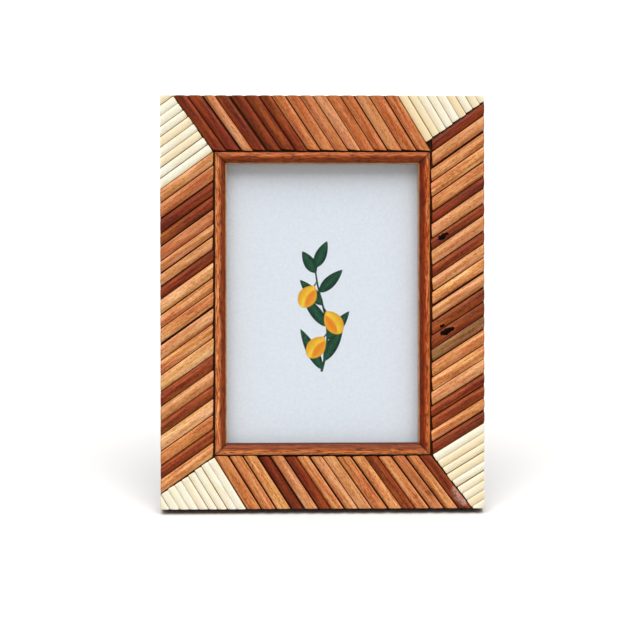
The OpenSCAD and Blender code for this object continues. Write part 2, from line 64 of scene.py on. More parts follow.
# Sizes in millimetres and degrees that the part's solids don't give by themselves
LEAN = 14
SLAT_GAP = 0.36
SLAT_EDGE_H = 1.8
SLAT_CROWN = 1.3
BONE_GAP = 0.1
BONE_EDGE_H = 2.25
BONE_CROWN = 0.65
BEAD_PEAK = 2.8
BEAD_H = 3.8
BEAD_OUTER_H = 2.2
BEAD_INNER_H = 1.3
BEAD_LIP_W = 0.55
BEAD_MITRE_GAP = 0.2
LINING_T = 1
AIR_GAP = 0.12
INK_T = 0.03
SHARP_ANGLE = 38


# The bench and the table

def stand_matrix():
    """Leans what lies on the bench back onto the table, and turns millimetres into metres."""
    lowest = min((v.co for v in frame["nodes"]["core_bottom_rail"].data.vertices), key=lambda p: p.z)
    lean_back = Matrix.Rotation(math.radians(90 - LEAN), 4, "X")
    return Matrix.Translation((0, lowest.y, 0)) @ lean_back @ Matrix.Scale(MM, 4)


STAND = stand_matrix()


def strut_matrix():
    """Opens what is drawn with the strut closed, and stands it up."""
    swing = next(joint for joint in frame["joints"] if joint["name"] == "strut_swing")
    pin = STAND.inverted() @ Vector(swing["pos_m"])
    turn = Matrix.Rotation(math.radians(-swing["range_deg"][0]), 4, "X")
    return STAND @ Matrix.Translation(pin) @ turn @ Matrix.Translation(-pin)


STRUT = strut_matrix()


def seat_of(body):
    """What stands up a body's pieces from the bench."""
    return STRUT if body == "strut_arm" else STAND


def merged(node, body="frame"):
    """A CAD node's solids in millimetres on the bench, its loose triangles merged."""
    bm = bmesh.new()
    bm.from_mesh(frame["nodes"][node].data)
    bm.transform(seat_of(body).inverted())
    bmesh.ops.remove_doubles(bm, verts=bm.verts, dist=SNAP / 10)
    return bm


def solids(node, body="frame"):
    """The points of each separate solid of a CAD node."""
    bm = merged(node, body)
    seen = set()
    found = []
    for first in bm.verts:
        group = [] if first in seen else [first]
        seen.update(group)
        for vert in group:
            for edge in vert.link_edges:
                other = edge.other_vert(vert)
                if other not in seen:
                    seen.add(other)
                    group.append(other)
        if group:
            found.append([v.co.copy() for v in group])
    bm.free()
    return sorted(found, key=lambda points: [round(c, 3) for c in sum(points, Vector())])


def extent(points):
    """Lowest and highest corner of some points."""
    points = list(points)
    return (Vector([min(p[i] for p in points) for i in range(3)]),
            Vector([max(p[i] for p in points) for i in range(3)]))


def bench_box(node):
    return extent(p for points in solids(node) for p in points)


OUTER_LOW = bench_box("core_left_rail")[0]
OUTER_HIGH = Vector((bench_box("core_right_rail")[1].x, *bench_box("core_top_rail")[1].yz))
CORE_T = OUTER_HIGH.z
FIELD_LOW = Vector((bench_box("bead_left")[0].x, bench_box("bead_bottom")[0].y))
WINDOW_LOW = Vector((bench_box("bead_left")[1].x, bench_box("bead_bottom")[1].y))
WINDOW_HIGH = Vector((bench_box("bead_right")[0].x, bench_box("bead_top")[0].y))
WINDOW_MID = (WINDOW_LOW + WINDOW_HIGH) / 2
WINDOW_HALF = (WINDOW_HIGH - WINDOW_LOW) / 2
BEAD_W = WINDOW_LOW.x - FIELD_LOW.x
LINING_H = CORE_T - bench_box("bead_left")[0].z
SLAT_TOP = CORE_T + SLAT_EDGE_H + SLAT_CROWN
PRINT_TOP = bench_box("print")[1].z


# Materials

def shade(code):
    """An sRGB hex colour as linear red, green, blue and alpha."""
    parts = [int(code[i:i + 2], 16) / 255 for i in (1, 3, 5)]
    return [c / 12.92 if c <= 0.04045 else ((c + 0.055) / 1.055) ** 2.4 for c in parts] + [1]


def add(tree, kind, links=None, **settings):
    """Adds a node with its settings. Each link or value goes to the input of that name or number."""
    node = tree.nodes.new(kind)
    for name, value in settings.items():
        setattr(node, name, value)
    for key, source in (links or {}).items():
        named = [s for s in node.inputs if s.enabled and s.name == key]
        socket = named[0] if named else node.inputs[key]
        if isinstance(source, bpy.types.Node):
            source = next(s for s in source.outputs if s.enabled)
        if isinstance(source, bpy.types.NodeSocket):
            tree.links.new(source, socket)
        else:
            socket.default_value = source
    return node


def finish(name, **values):
    """A new material with its shader, whose plain values are set on the shader's own sockets."""
    material = bpy.data.materials.new(name)
    material.use_nodes = True
    shader = material.node_tree.nodes["Principled BSDF"]
    for socket, value in values.items():
        shader.inputs[socket.replace("_", " ")].default_value = value
    return material, material.node_tree, shader


def connect(tree, shader, **sources):
    """Joins nodes to the shader's sockets."""
    for socket, source in sources.items():
        output = next(s for s in source.outputs if s.enabled)
        tree.links.new(output, shader.inputs[socket.replace("_", " ")])


def patches(tree, place, sizes, detail=2):
    """Noise whose patches have those sizes along X, Y and Z of the place given."""
    scaled = add(tree, "ShaderNodeVectorMath", {0: place, 1: [1 / size for size in sizes]},
                 operation="MULTIPLY")
    return add(tree, "ShaderNodeTexNoise", {"Vector": scaled, "Scale": 1, "Detail": detail})


def laid_wood(tree):
    """Where a point lies in its own slat: in millimetres along the grain, and as shares of it."""
    grain = add(tree, "ShaderNodeAttribute", attribute_name="grain").outputs["Vector"]
    unit = add(tree, "ShaderNodeAttribute", attribute_name="unit").outputs["Vector"]
    tone = add(tree, "ShaderNodeAttribute", attribute_name="tone").outputs["Fac"]
    return grain, add(tree, "ShaderNodeSeparateXYZ", {"Vector": unit}).outputs, tone


def coats(tree, ground, layers):
    """A ground colour under coats of other colours. Each coat is (its colour, the pattern that it
    follows, the pattern's values where it starts and is full, how much it covers at each)."""
    for colour, pattern, start, full, thin, thick in layers:
        cover = add(tree, "ShaderNodeMapRange", {"Value": pattern, "From Min": start, "From Max": full,
                                                 "To Min": thin, "To Max": thick})
        ground = add(tree, "ShaderNodeMix", {"Factor": cover, "A": ground, "B": shade(colour)},
                     data_type="RGBA")
    return ground


def from_middle(tree, share):
    """0 in the middle of a slat's width or length, and 1 at both of its ends."""
    doubled = add(tree, "ShaderNodeMath", {0: share, 1: 2, 2: -1}, operation="MULTIPLY_ADD")
    return add(tree, "ShaderNodeMath", {0: doubled}, operation="ABSOLUTE")


def in_spots(tree, place, spots, heart=0.4):
    """1 in the heart of each spot, such as a knot, falling to 0 at its ragged edge. The heart is
    that share of its size."""
    ragged = patches(tree, place, [SPOT_RAG * MM] * 3)
    wander = add(tree, "ShaderNodeVectorMath", {0: ragged.outputs["Color"], "Scale": SPOT_WANDER * MM},
                 operation="SCALE")
    moved = add(tree, "ShaderNodeVectorMath", {0: place, 1: wander}, operation="ADD")
    found = 0
    for x, y, radius in spots:
        middle = STAND @ Vector((x, y, SLAT_TOP)) + Vector((1, 1, 1)) * SPOT_WANDER / 2 * MM
        away = add(tree, "ShaderNodeVectorMath", {0: moved, 1: middle},
                   operation="DISTANCE").outputs["Value"]
        inside = add(tree, "ShaderNodeMapRange", {"Value": away, "From Min": heart * radius * MM,
                                                  "From Max": radius * MM, "To Min": 1, "To Max": 0})
        found = add(tree, "ShaderNodeMath", {0: inside, 1: found}, operation="MAXIMUM")
    return found


# Close-grained hardwood, sawn into slats, planed and given a satin lacquer: long streaks, redder
# in places, short dark pores and pale flecks, and dark stain in the seams and on the end grain.
# The lower arris has painted shade along it, and the upper arris a painted highlight. Real pores
# are a tenth of a millimetre wide, and are drawn about three times as wide to show.
def hardwood(name, deep, plain, pale, pore):
    material, tree, shader = finish(name, IOR=1.5, Specular_Tint=SHEEN_TINT)
    grain, unit, tone = laid_wood(tree)
    figure = patches(tree, grain, (30, 2.2, 2.2), 3)
    streak = patches(tree, grain, (9, 0.7, 0.7))
    pores = patches(tree, grain, (1.9, 0.34, 0.34), 1)
    blush = patches(tree, grain, (26, 4, 4))
    flecked = coats(tree, shade(deep), (
        (plain, figure, 0.34, 0.5, 0, 1), (pale, figure, 0.5, 0.66, 0, 1),
        (deep, streak, 0.45, 0.68, 0, 0.55), (pale, pores, 0.34, 0.46, 0.4, 0)))
    in_pore = add(tree, "ShaderNodeMapRange",
                  {"Value": pores, "From Min": 0.56, "From Max": 0.68, "To Max": 0.58})
    pored = add(tree, "ShaderNodeMix", {"Factor": in_pore, "A": flecked, "B": shade(pore)}, data_type="RGBA")
    hue = add(tree, "ShaderNodeMapRange",
              {"Value": blush, "From Min": 0.35, "From Max": 0.65, "To Min": 0.506, "To Max": 0.492})
    blushed = add(tree, "ShaderNodeHueSaturation", {"Color": pored, "Hue": hue})
    paler = add(tree, "ShaderNodeMapRange", {"Value": tone, "From Min": -1})
    tint = add(tree, "ShaderNodeMix", {"Factor": paler, "A": (*DEEP_TINT, 1), "B": (*PALE_TINT, 1)},
               data_type="RGBA")
    toned = add(tree, "ShaderNodeMix", {"Factor": 1, "A": blushed, "B": tint}, data_type="RGBA",
                blend_type="MULTIPLY")
    # Which long edge is upper on the frame: painted shade goes along the lower arris, and a painted highlight
    # along the upper one
    upper = add(tree, "ShaderNodeAttribute", attribute_name="upper").outputs["Fac"]
    below = add(tree, "ShaderNodeMath", {0: unit["Y"], 1: upper}, operation="SUBTRACT")
    from_upper = add(tree, "ShaderNodeMath", {0: below}, operation="ABSOLUTE")
    on_side, on_end, painted_lower_shade, painted_upper_highlight, face_up = (
        add(tree, "ShaderNodeMapRange", {"Value": share, "From Min": start, "From Max": full,
                                         "To Min": thin, "To Max": thick})
        for share, start, full, thin, thick in (
            (unit["Z"], 0.7, 0.98, 0.9, 0), (unit["X"], 0, 0.02, 0.7, 0), (from_upper, 0.93, 0.99, 0, 0.75),
            (from_upper, 0.03, 0.09, 0.5, 0), (unit["Z"], 0.9, 1, 0, 1)))
    place = add(tree, "ShaderNodeTexCoord").outputs["Object"]
    # Real stains in the seams, on the end grain and in the knots, together with the painted shade along the
    # lower arris
    dark = 0
    for darkening in (on_side, on_end, painted_lower_shade, in_spots(tree, place, KNOTS)):
        dark = add(tree, "ShaderNodeMath", {0: darkening, 1: dark}, operation="MAXIMUM")
    dead = in_spots(tree, place, DEAD_KNOTS, 0.8)
    sheen = add(tree, "ShaderNodeMapRange", {"Value": dead, "To Min": WOOD_SHEEN, "To Max": 0.03})
    # A painted highlight along the upper arris, on the slat's top face
    highlighted = add(tree, "ShaderNodeMath", {0: painted_upper_highlight, 1: face_up}, operation="MULTIPLY")
    scratch = add(tree, "ShaderNodeMapRange", {"Value": pores, "From Min": 0.42, "From Max": 0.58,
                                               "To Min": 0.15})
    bare = add(tree, "ShaderNodeMath", {0: in_spots(tree, place, SCUFFS), 1: scratch}, operation="MULTIPLY")
    wear_and_light = toned
    for cover, colour in ((dark, pore), (dead, "#080303"), (highlighted, pale), (bare, "#C79C8C")):
        wear_and_light = add(tree, "ShaderNodeMix", {"Factor": cover, "A": wear_and_light, "B": shade(colour)},
                   data_type="RGBA")
    gloss = add(tree, "ShaderNodeMapRange",
                {"Value": streak, "From Min": 0.3, "From Max": 0.7, "To Min": 0.3, "To Max": 0.44})
    bump = add(tree, "ShaderNodeBump", {"Height": in_pore, "Strength": 0.4, "Distance": 0.05 * MM},
               invert=True)
    connect(tree, shader, Base_Color=wear_and_light, Roughness=gloss, Specular_IOR_Level=sheen, Normal=bump)
    return material


# Bleached bone, scraped and polished: warm white, a little different from strip to strip, with
# fine flecks along it and old glue in the seams
def bleached_bone():
    material, tree, shader = finish("bleached bone", IOR=1.54, Specular_IOR_Level=0.3,
                                    Subsurface_Weight=0.6, Subsurface_Scale=1.5 * MM,
                                    Subsurface_Radius=(1, 0.75, 0.5))
    grain, unit, tone = laid_wood(tree)
    cloud = patches(tree, grain, (16, 3, 3))
    fleck = patches(tree, grain, (2.2, 0.3, 0.3), 1)
    stained = coats(tree, shade("#F7DFB4"), (
        ("#FFF6E4", tone, -1, 1, 0, 1), ("#F0DDB2", cloud, 0.45, 0.7, 0, 0.5),
        ("#CFBE90", fleck, 0.6, 0.72, 0, 0.3), ("#D9AC68", from_middle(tree, unit["Y"]), 0.88, 1, 0, 0.75),
        ("#C08C4C", unit["Z"], 0.6, 0.98, 1, 0)))
    gloss = add(tree, "ShaderNodeMapRange",
                {"Value": cloud, "From Min": 0.3, "From Max": 0.7, "To Min": 0.3, "To Max": 0.42})
    bump = add(tree, "ShaderNodeBump", {"Height": cloud, "Strength": 0.2, "Distance": 0.1 * MM})
    connect(tree, shader, Base_Color=stained, Roughness=gloss, Normal=bump)
    return material


# Red hardwood, run through a moulding cutter and lacquered satin, with short mottled streaks and
# blotches. Its colour is painted darker from its outer side towards the window, as painted shade
# on the slope that faces the window, and on lengths with a share of painted light the outer half is
# painted lighter and the inner half darker still. Its outer arris and lip are pale: rubbed bare wood
# that also carries a painted highlight. Each length has a tone, a share of painted light and shade,
# and a lip of its own.
def moulded_hardwood():
    material, tree, shader = finish("moulded hardwood", IOR=1.5, Specular_IOR_Level=WOOD_SHEEN,
                                    Specular_Tint=SHEEN_TINT)
    grain, unit, tone = laid_wood(tree)
    figure = patches(tree, grain, (12, 1.4, 1.4), 3)
    streak = patches(tree, grain, (5, 0.5, 0.5), 3)
    blotch = patches(tree, grain, (4, 1.1, 1.1), 3)
    # The inner colours are darker: painted shade on the slope that faces the window
    outer, inner = (coats(tree, shade(low), ((high, figure, 0.3, 0.7, 0, 1),))
                    for low, high in (("#9C4420", "#DC8650"), ("#682812", "#A8562E")))
    shade_towards_window, in_blotch, at_mitre, on_lip, arris_wear_and_highlight, wear_and_light = (
        add(tree, "ShaderNodeMapRange", {"Value": share, "From Min": start, "From Max": full,
                                         "To Min": thin, "To Max": thick})
        for share, start, full, thin, thick in (
            (unit["Y"], 0.25, 0.6, 0, 1), (blotch, 0.54, 0.66, 0, 0.75),
            (from_middle(tree, unit["X"]), 0.975, 1, 0, 0.6), (unit["Y"], 0.9, 0.93, 0, 0.85),
            (unit["Y"], 0, 0.06, 0.7, 0), (streak, 0.4, 0.65, 1, 0.45)))
    level = add(tree, "ShaderNodeMix", {"Factor": shade_towards_window, "A": outer, "B": inner}, data_type="RGBA")
    # How much a length gets painted light on its outer half and painted shade on its inner half
    painted_light_share = add(tree, "ShaderNodeAttribute", attribute_name="painted_light_share").outputs["Fac"]
    light_across_bead = add(tree, "ShaderNodeMix", {"Factor": shade_towards_window, "A": (*PAINTED_LIGHT_OUTSIDE, 1),
                                              "B": (*PAINTED_SHADE_INSIDE, 1)}, data_type="RGBA")
    across = add(tree, "ShaderNodeMix", {"Factor": painted_light_share, "A": level, "B": light_across_bead}, data_type="RGBA",
                 blend_type="MULTIPLY", clamp_result=True)
    streaked = coats(tree, across, (("#6A2810", streak, 0.46, 0.62, 0, 0.8),))
    # Lengths with a pale lip get rubbed bare wood with a painted highlight there; the others' lip is dark
    pale_lip = add(tree, "ShaderNodeAttribute", attribute_name="pale_lip").outputs["Fac"]
    lip_wear_and_highlight = add(tree, "ShaderNodeMath", {0: on_lip, 1: pale_lip}, operation="MULTIPLY")
    dark_lip = add(tree, "ShaderNodeMath", {0: on_lip, 1: lip_wear_and_highlight}, operation="SUBTRACT")
    dark = 0
    for darkening in (in_blotch, at_mitre, dark_lip):
        dark = add(tree, "ShaderNodeMath", {0: darkening, 1: dark}, operation="MAXIMUM")
    # The outer arris is pale too: rubbed bare wood with a painted highlight
    pale = add(tree, "ShaderNodeMath", {0: lip_wear_and_highlight, 1: arris_wear_and_highlight}, operation="MAXIMUM")
    share = add(tree, "ShaderNodeMath", {0: pale, 1: wear_and_light}, operation="MULTIPLY")
    lined = streaked
    for cover, colour in ((dark, "#3E1206"), (share, "#E0B07C")):
        lined = add(tree, "ShaderNodeMix", {"Factor": cover, "A": lined, "B": shade(colour)},
                    data_type="RGBA")
    value, depth, hue = (
        add(tree, "ShaderNodeMapRange", {"Value": tone, "From Min": -1, "To Min": low, "To Max": high})
        for low, high in ((0.82, 1.16), (1.08, 0.98), (0.491, 0.508)))
    highlighted = add(tree, "ShaderNodeHueSaturation", {"Color": lined, "Value": value, "Saturation": depth,
                                                   "Hue": hue})
    gloss = add(tree, "ShaderNodeMapRange",
                {"Value": streak, "From Min": 0.3, "From Max": 0.7, "To Min": 0.34, "To Max": 0.48})
    bump = add(tree, "ShaderNodeBump", {"Height": streak, "Strength": 0.25, "Distance": 0.05 * MM})
    connect(tree, shader, Base_Color=highlighted, Roughness=gloss, Normal=bump)
    return material


def speckled(name, low, high, size, depth, rough, **values):
    """A material mottled between two colours, with specks of that size and depth in millimetres."""
    material, tree, shader = finish(name, **values)
    place = add(tree, "ShaderNodeTexCoord").outputs["Object"]
    speck = patches(tree, place, [size * MM] * 3, 4)
    shared = add(tree, "ShaderNodeMapRange", {"Value": speck, "From Min": 0.35, "From Max": 0.65})
    colour = add(tree, "ShaderNodeMix", {"Factor": shared, "A": shade(low), "B": shade(high)},
                 data_type="RGBA")
    gloss = add(tree, "ShaderNodeMapRange", {"Value": shared, "To Min": rough[0], "To Max": rough[1]})
    bump = add(tree, "ShaderNodeBump", {"Height": speck, "Strength": 0.5, "Distance": depth * MM})
    connect(tree, shader, Base_Color=colour, Roughness=gloss, Normal=bump)
    return material


# Picture glass with ground edges, coated so that it mirrors little of the room, for which its
# index is written lower than glass has. Lamp light and soft light pass straight through to the
# print, because bent light would hardly reach it.
def picture_glass():
    material, tree, shader = finish("picture glass", Base_Color=shade("#F7FBFA"), Roughness=0, IOR=1.2,
                                    Transmission_Weight=1)
    path = add(tree, "ShaderNodeLightPath").outputs
    straight = add(tree, "ShaderNodeMath", {0: path["Is Shadow Ray"], 1: path["Is Diffuse Ray"]},
                   operation="MAXIMUM")
    clear = add(tree, "ShaderNodeBsdfTransparent")
    mix = add(tree, "ShaderNodeMixShader", {0: straight, 1: shader, 2: clear})
    tree.links.new(mix.outputs["Shader"], tree.nodes["Material Output"].inputs["Surface"])
    return material


# Printing ink on paper: matt, and a little uneven, with a paler heart in each leaf and fruit
def printing_ink(name, edge, heart):
    material, tree, shader = finish(name, Roughness=0.6, Specular_IOR_Level=0.08)
    inward = add(tree, "ShaderNodeAttribute", attribute_name="heart").outputs["Fac"]
    place = add(tree, "ShaderNodeTexCoord").outputs["Object"]
    wash = patches(tree, place, [2.5 * MM] * 3, 3)
    uneven = add(tree, "ShaderNodeMath", {0: wash, 1: inward}, operation="MULTIPLY")
    share = add(tree, "ShaderNodeMapRange", {"Value": uneven, "From Max": 0.6})
    colour = add(tree, "ShaderNodeMix", {"Factor": share, "A": shade(edge), "B": shade(heart)},
                 data_type="RGBA")
    connect(tree, shader, Base_Color=colour)
    return material


# The satin lacquer's mirror strength, and its warm tint
WOOD_SHEEN = 0.24
SHEEN_TINT = shade("#FFECD7")
# What the deepest and the palest slats of a wood multiply its colour by
DEEP_TINT = (0.76, 0.54, 0.5)
PALE_TINT = (1.08, 1.18, 1.28)
# What a length of bead multiplies its colour by, as painted light on its outer side and painted shade towards
# the window
PAINTED_LIGHT_OUTSIDE = (1.7, 2, 2.3)
PAINTED_SHADE_INSIDE = (0.78, 0.6, 0.46)
# The size of the rags in a spot's edge, and how far they reach
SPOT_RAG = 1.5
SPOT_WANDER = 2.2
# Places over the frame's foot in millimetres, and sizes, of the knots, of the black dead knots,
# and of the scuffs where the lacquer is rubbed off
KNOTS = ((62.8, 9.4, 3), (61, 9.8, 1.6))
DEAD_KNOTS = ((68.7, 158, 1.7), (70.3, 158.9, 1.9), (72.3, 160.4, 1.2), (69.7, 102.6, 1.7),
              (71.6, 103.3, 2.4), (73.8, 104.3, 2), (75.6, 105, 1.2), (69.4, 106.2, 1.3),
              (70.8, 107, 1.1))
SCUFFS = ((78.2, 10.6, 4.2), (80.4, 7, 4.4), (82.4, 4, 3.2))
DARK_WOOD = hardwood("dark hardwood", "#5B1B05", "#8C3812", "#B35A23", "#2C0B03")
MID_WOOD = hardwood("orange hardwood", "#AF5E2B", "#DD8E4C", "#F9BA79", "#6C3117")
LIGHT_WOOD = hardwood("pale hardwood", "#BE773B", "#E39E5F", "#F9C18A", "#86441C")
OLIVE_WOOD = hardwood("olive hardwood", "#70451F", "#956236", "#B58150", "#42280C")
BONE = bleached_bone()
BEAD_WOOD = moulded_hardwood()
# Medium density fibreboard, sawn and stained dark: fine fuzz and no grain
CORE_BOARD = speckled("stained fibreboard", "#3A1C0E", "#5C321A", 0.5, 0.04, (0.7, 0.8), IOR=1.45,
                      Specular_IOR_Level=0.1)
# Hardboard covered with black flocked paper: no gloss, and a soft bloom
FLOCK = speckled("black flocked paper", "#0C0C0E", "#1B1B1F", 0.4, 0.08, (0.88, 0.96), IOR=1.4,
                 Sheen_Weight=0.2)
# Grey board, pressed from waste paper and cut with a guillotine
CARD = speckled("grey board", "#B9AE98", "#CFC6B4", 0.6, 0.03, (0.8, 0.9), IOR=1.45)
# Smooth uncoated paper, a cool white with a faint cloud
PAPER = speckled("print paper", "#E0E4EE", "#E6EAF2", 1.6, 0.004, (0.62, 0.7), IOR=1.45)
# Zinc plated steel, stamped: bright, slightly blue, faintly blotched
ZINC = speckled("zinc plated steel", "#A9AEB4", "#C6CACE", 2.2, 0.01, (0.26, 0.4), Metallic=1)
GLASS = picture_glass()
LEAF_INK = printing_ink("green ink", "#03150D", "#155638")
YELLOW_INK = printing_ink("yellow ink", "#E39A1C", "#F8D23A")
ORANGE_INK = printing_ink("orange ink", "#EE9A22", "#E8781C")


# Making pieces

def bench_object(mesh):
    obj = bpy.data.objects.new(mesh.name, mesh)
    bpy.context.scene.collection.objects.link(obj)
    return obj


def new_mesh(name, points, faces=()):
    mesh = bpy.data.meshes.new(name)
    mesh.from_pydata(points, [], faces)
    return mesh


def finished_mesh(name, bm):
    """What was edited in bmesh, as a mesh of its own."""
    mesh = bpy.data.meshes.new(name)
    bm.to_mesh(mesh)
    bm.free()
    return mesh


def mark(mesh, key, values):
    """Gives each point of a mesh its own value, a number or a vector, under a name."""
    kind, field = ("FLOAT", "value") if isinstance(values[0], (int, float)) else ("FLOAT_VECTOR", "vector")
    layer = mesh.attributes.new(key, kind, "POINT")
    for item, value in zip(layer.data, values):
        setattr(item, field, value)


def ease(obj, width, segments=2):
    """Rounds an object's sharp edges, and keeps its flats flat."""
    sharp = math.radians(SHARP_ANGLE)
    obj.data.set_sharp_from_angle(angle=sharp)
    bevel = obj.modifiers.new("eased edges", "BEVEL")
    bevel.width = width
    bevel.segments = segments
    bevel.limit_method = "ANGLE"
    bevel.angle_limit = sharp
    flats = obj.modifiers.new("flat faces", "WEIGHTED_NORMAL")
    flats.keep_sharp = True
    return obj


def stood(obj, name, body="frame", nodes=(), material=None):
    """The piece that an object on the bench becomes: a plain mesh, stood up, on its body."""
    depsgraph = bpy.context.evaluated_depsgraph_get()
    mesh = bpy.data.meshes.new_from_object(obj.evaluated_get(depsgraph), preserve_all_data_layers=True,
                                           depsgraph=depsgraph)
    bpy.data.meshes.remove(obj.data)
    mesh.transform(seat_of(body))
    mesh.name = name
    if material:
        mesh.materials.clear()
        mesh.materials.append(material)
    piece = bench_object(mesh)
    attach(piece, body)
    if nodes:
        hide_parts(*nodes)
    return piece


def eased_copy(node, width, body="frame"):
    """A CAD node's solids on the bench, with their sharp edges rounded."""
    bm = merged(node, body)
    bmesh.ops.dissolve_limit(bm, angle_limit=math.radians(1), verts=bm.verts, edges=bm.edges)
    for face in bm.faces:
        face.smooth = True
    return ease(bench_object(finished_mesh("eased_" + node, bm)), width)


def cut(node, piece, width, material, body="frame"):
    """Makes a CAD node with eased edges a piece of one material."""
    stood(eased_copy(node, width, body), piece, body, [node], material)


def grow(obj, tree, **values):
    """Hangs a geometry tree on an object, its inputs set by their identifiers."""
    modifier = obj.modifiers.new(tree.name, "NODES")
    modifier.node_group = tree
    for item in tree.interface.items_tree:
        key = item.name.lower().replace(" ", "_")
        if item.in_out == "INPUT" and key in values:
            modifier[item.identifier] = values[key]
    return obj


def new_tree(name, **sockets):
    """A geometry tree with named inputs, and one mesh in and out."""
    tree = bpy.data.node_groups.new(name, "GeometryNodeTree")
    tree.interface.new_socket("Places", in_out="INPUT", socket_type="NodeSocketGeometry")
    for key, kind in sockets.items():
        label = key.replace("_", " ").capitalize()
        tree.interface.new_socket(label, in_out="INPUT", socket_type="NodeSocket" + kind)
    tree.interface.new_socket("Pieces", in_out="OUTPUT", socket_type="NodeSocketGeometry")
    return tree, add(tree, "NodeGroupInput").outputs


# Laid slats and strips

# How far apart in the wood the bars may come from, how late the rounding of an end sets in towards
# its corners, and the waves of planing in a millimetre
WOOD_SPAN = 900
CORNER_POWER = 6
PLANING_SCALE = 0.09


def past_outline(tree, given, point, way):
    """How far a point lies outside the frame's outline, measured along its strip."""
    away = add(tree, "ShaderNodeVectorMath", {0: point, 1: given["Middle"]}, operation="SUBTRACT")
    spread = add(tree, "ShaderNodeVectorMath", {0: away}, operation="ABSOLUTE")
    outside = add(tree, "ShaderNodeVectorMath", {0: spread, 1: given["Half size"]}, operation="SUBTRACT")
    slope = add(tree, "ShaderNodeVectorMath", {0: way}, operation="ABSOLUTE")
    slide = add(tree, "ShaderNodeVectorMath", {0: outside, 1: slope}, operation="DIVIDE")
    parts = add(tree, "ShaderNodeSeparateXYZ", {"Vector": slide}).outputs
    most = add(tree, "ShaderNodeMath", {0: parts["X"], 1: parts["Y"]}, operation="MAXIMUM")
    return add(tree, "ShaderNodeMath", {0: most, 1: 0}, operation="MAXIMUM")


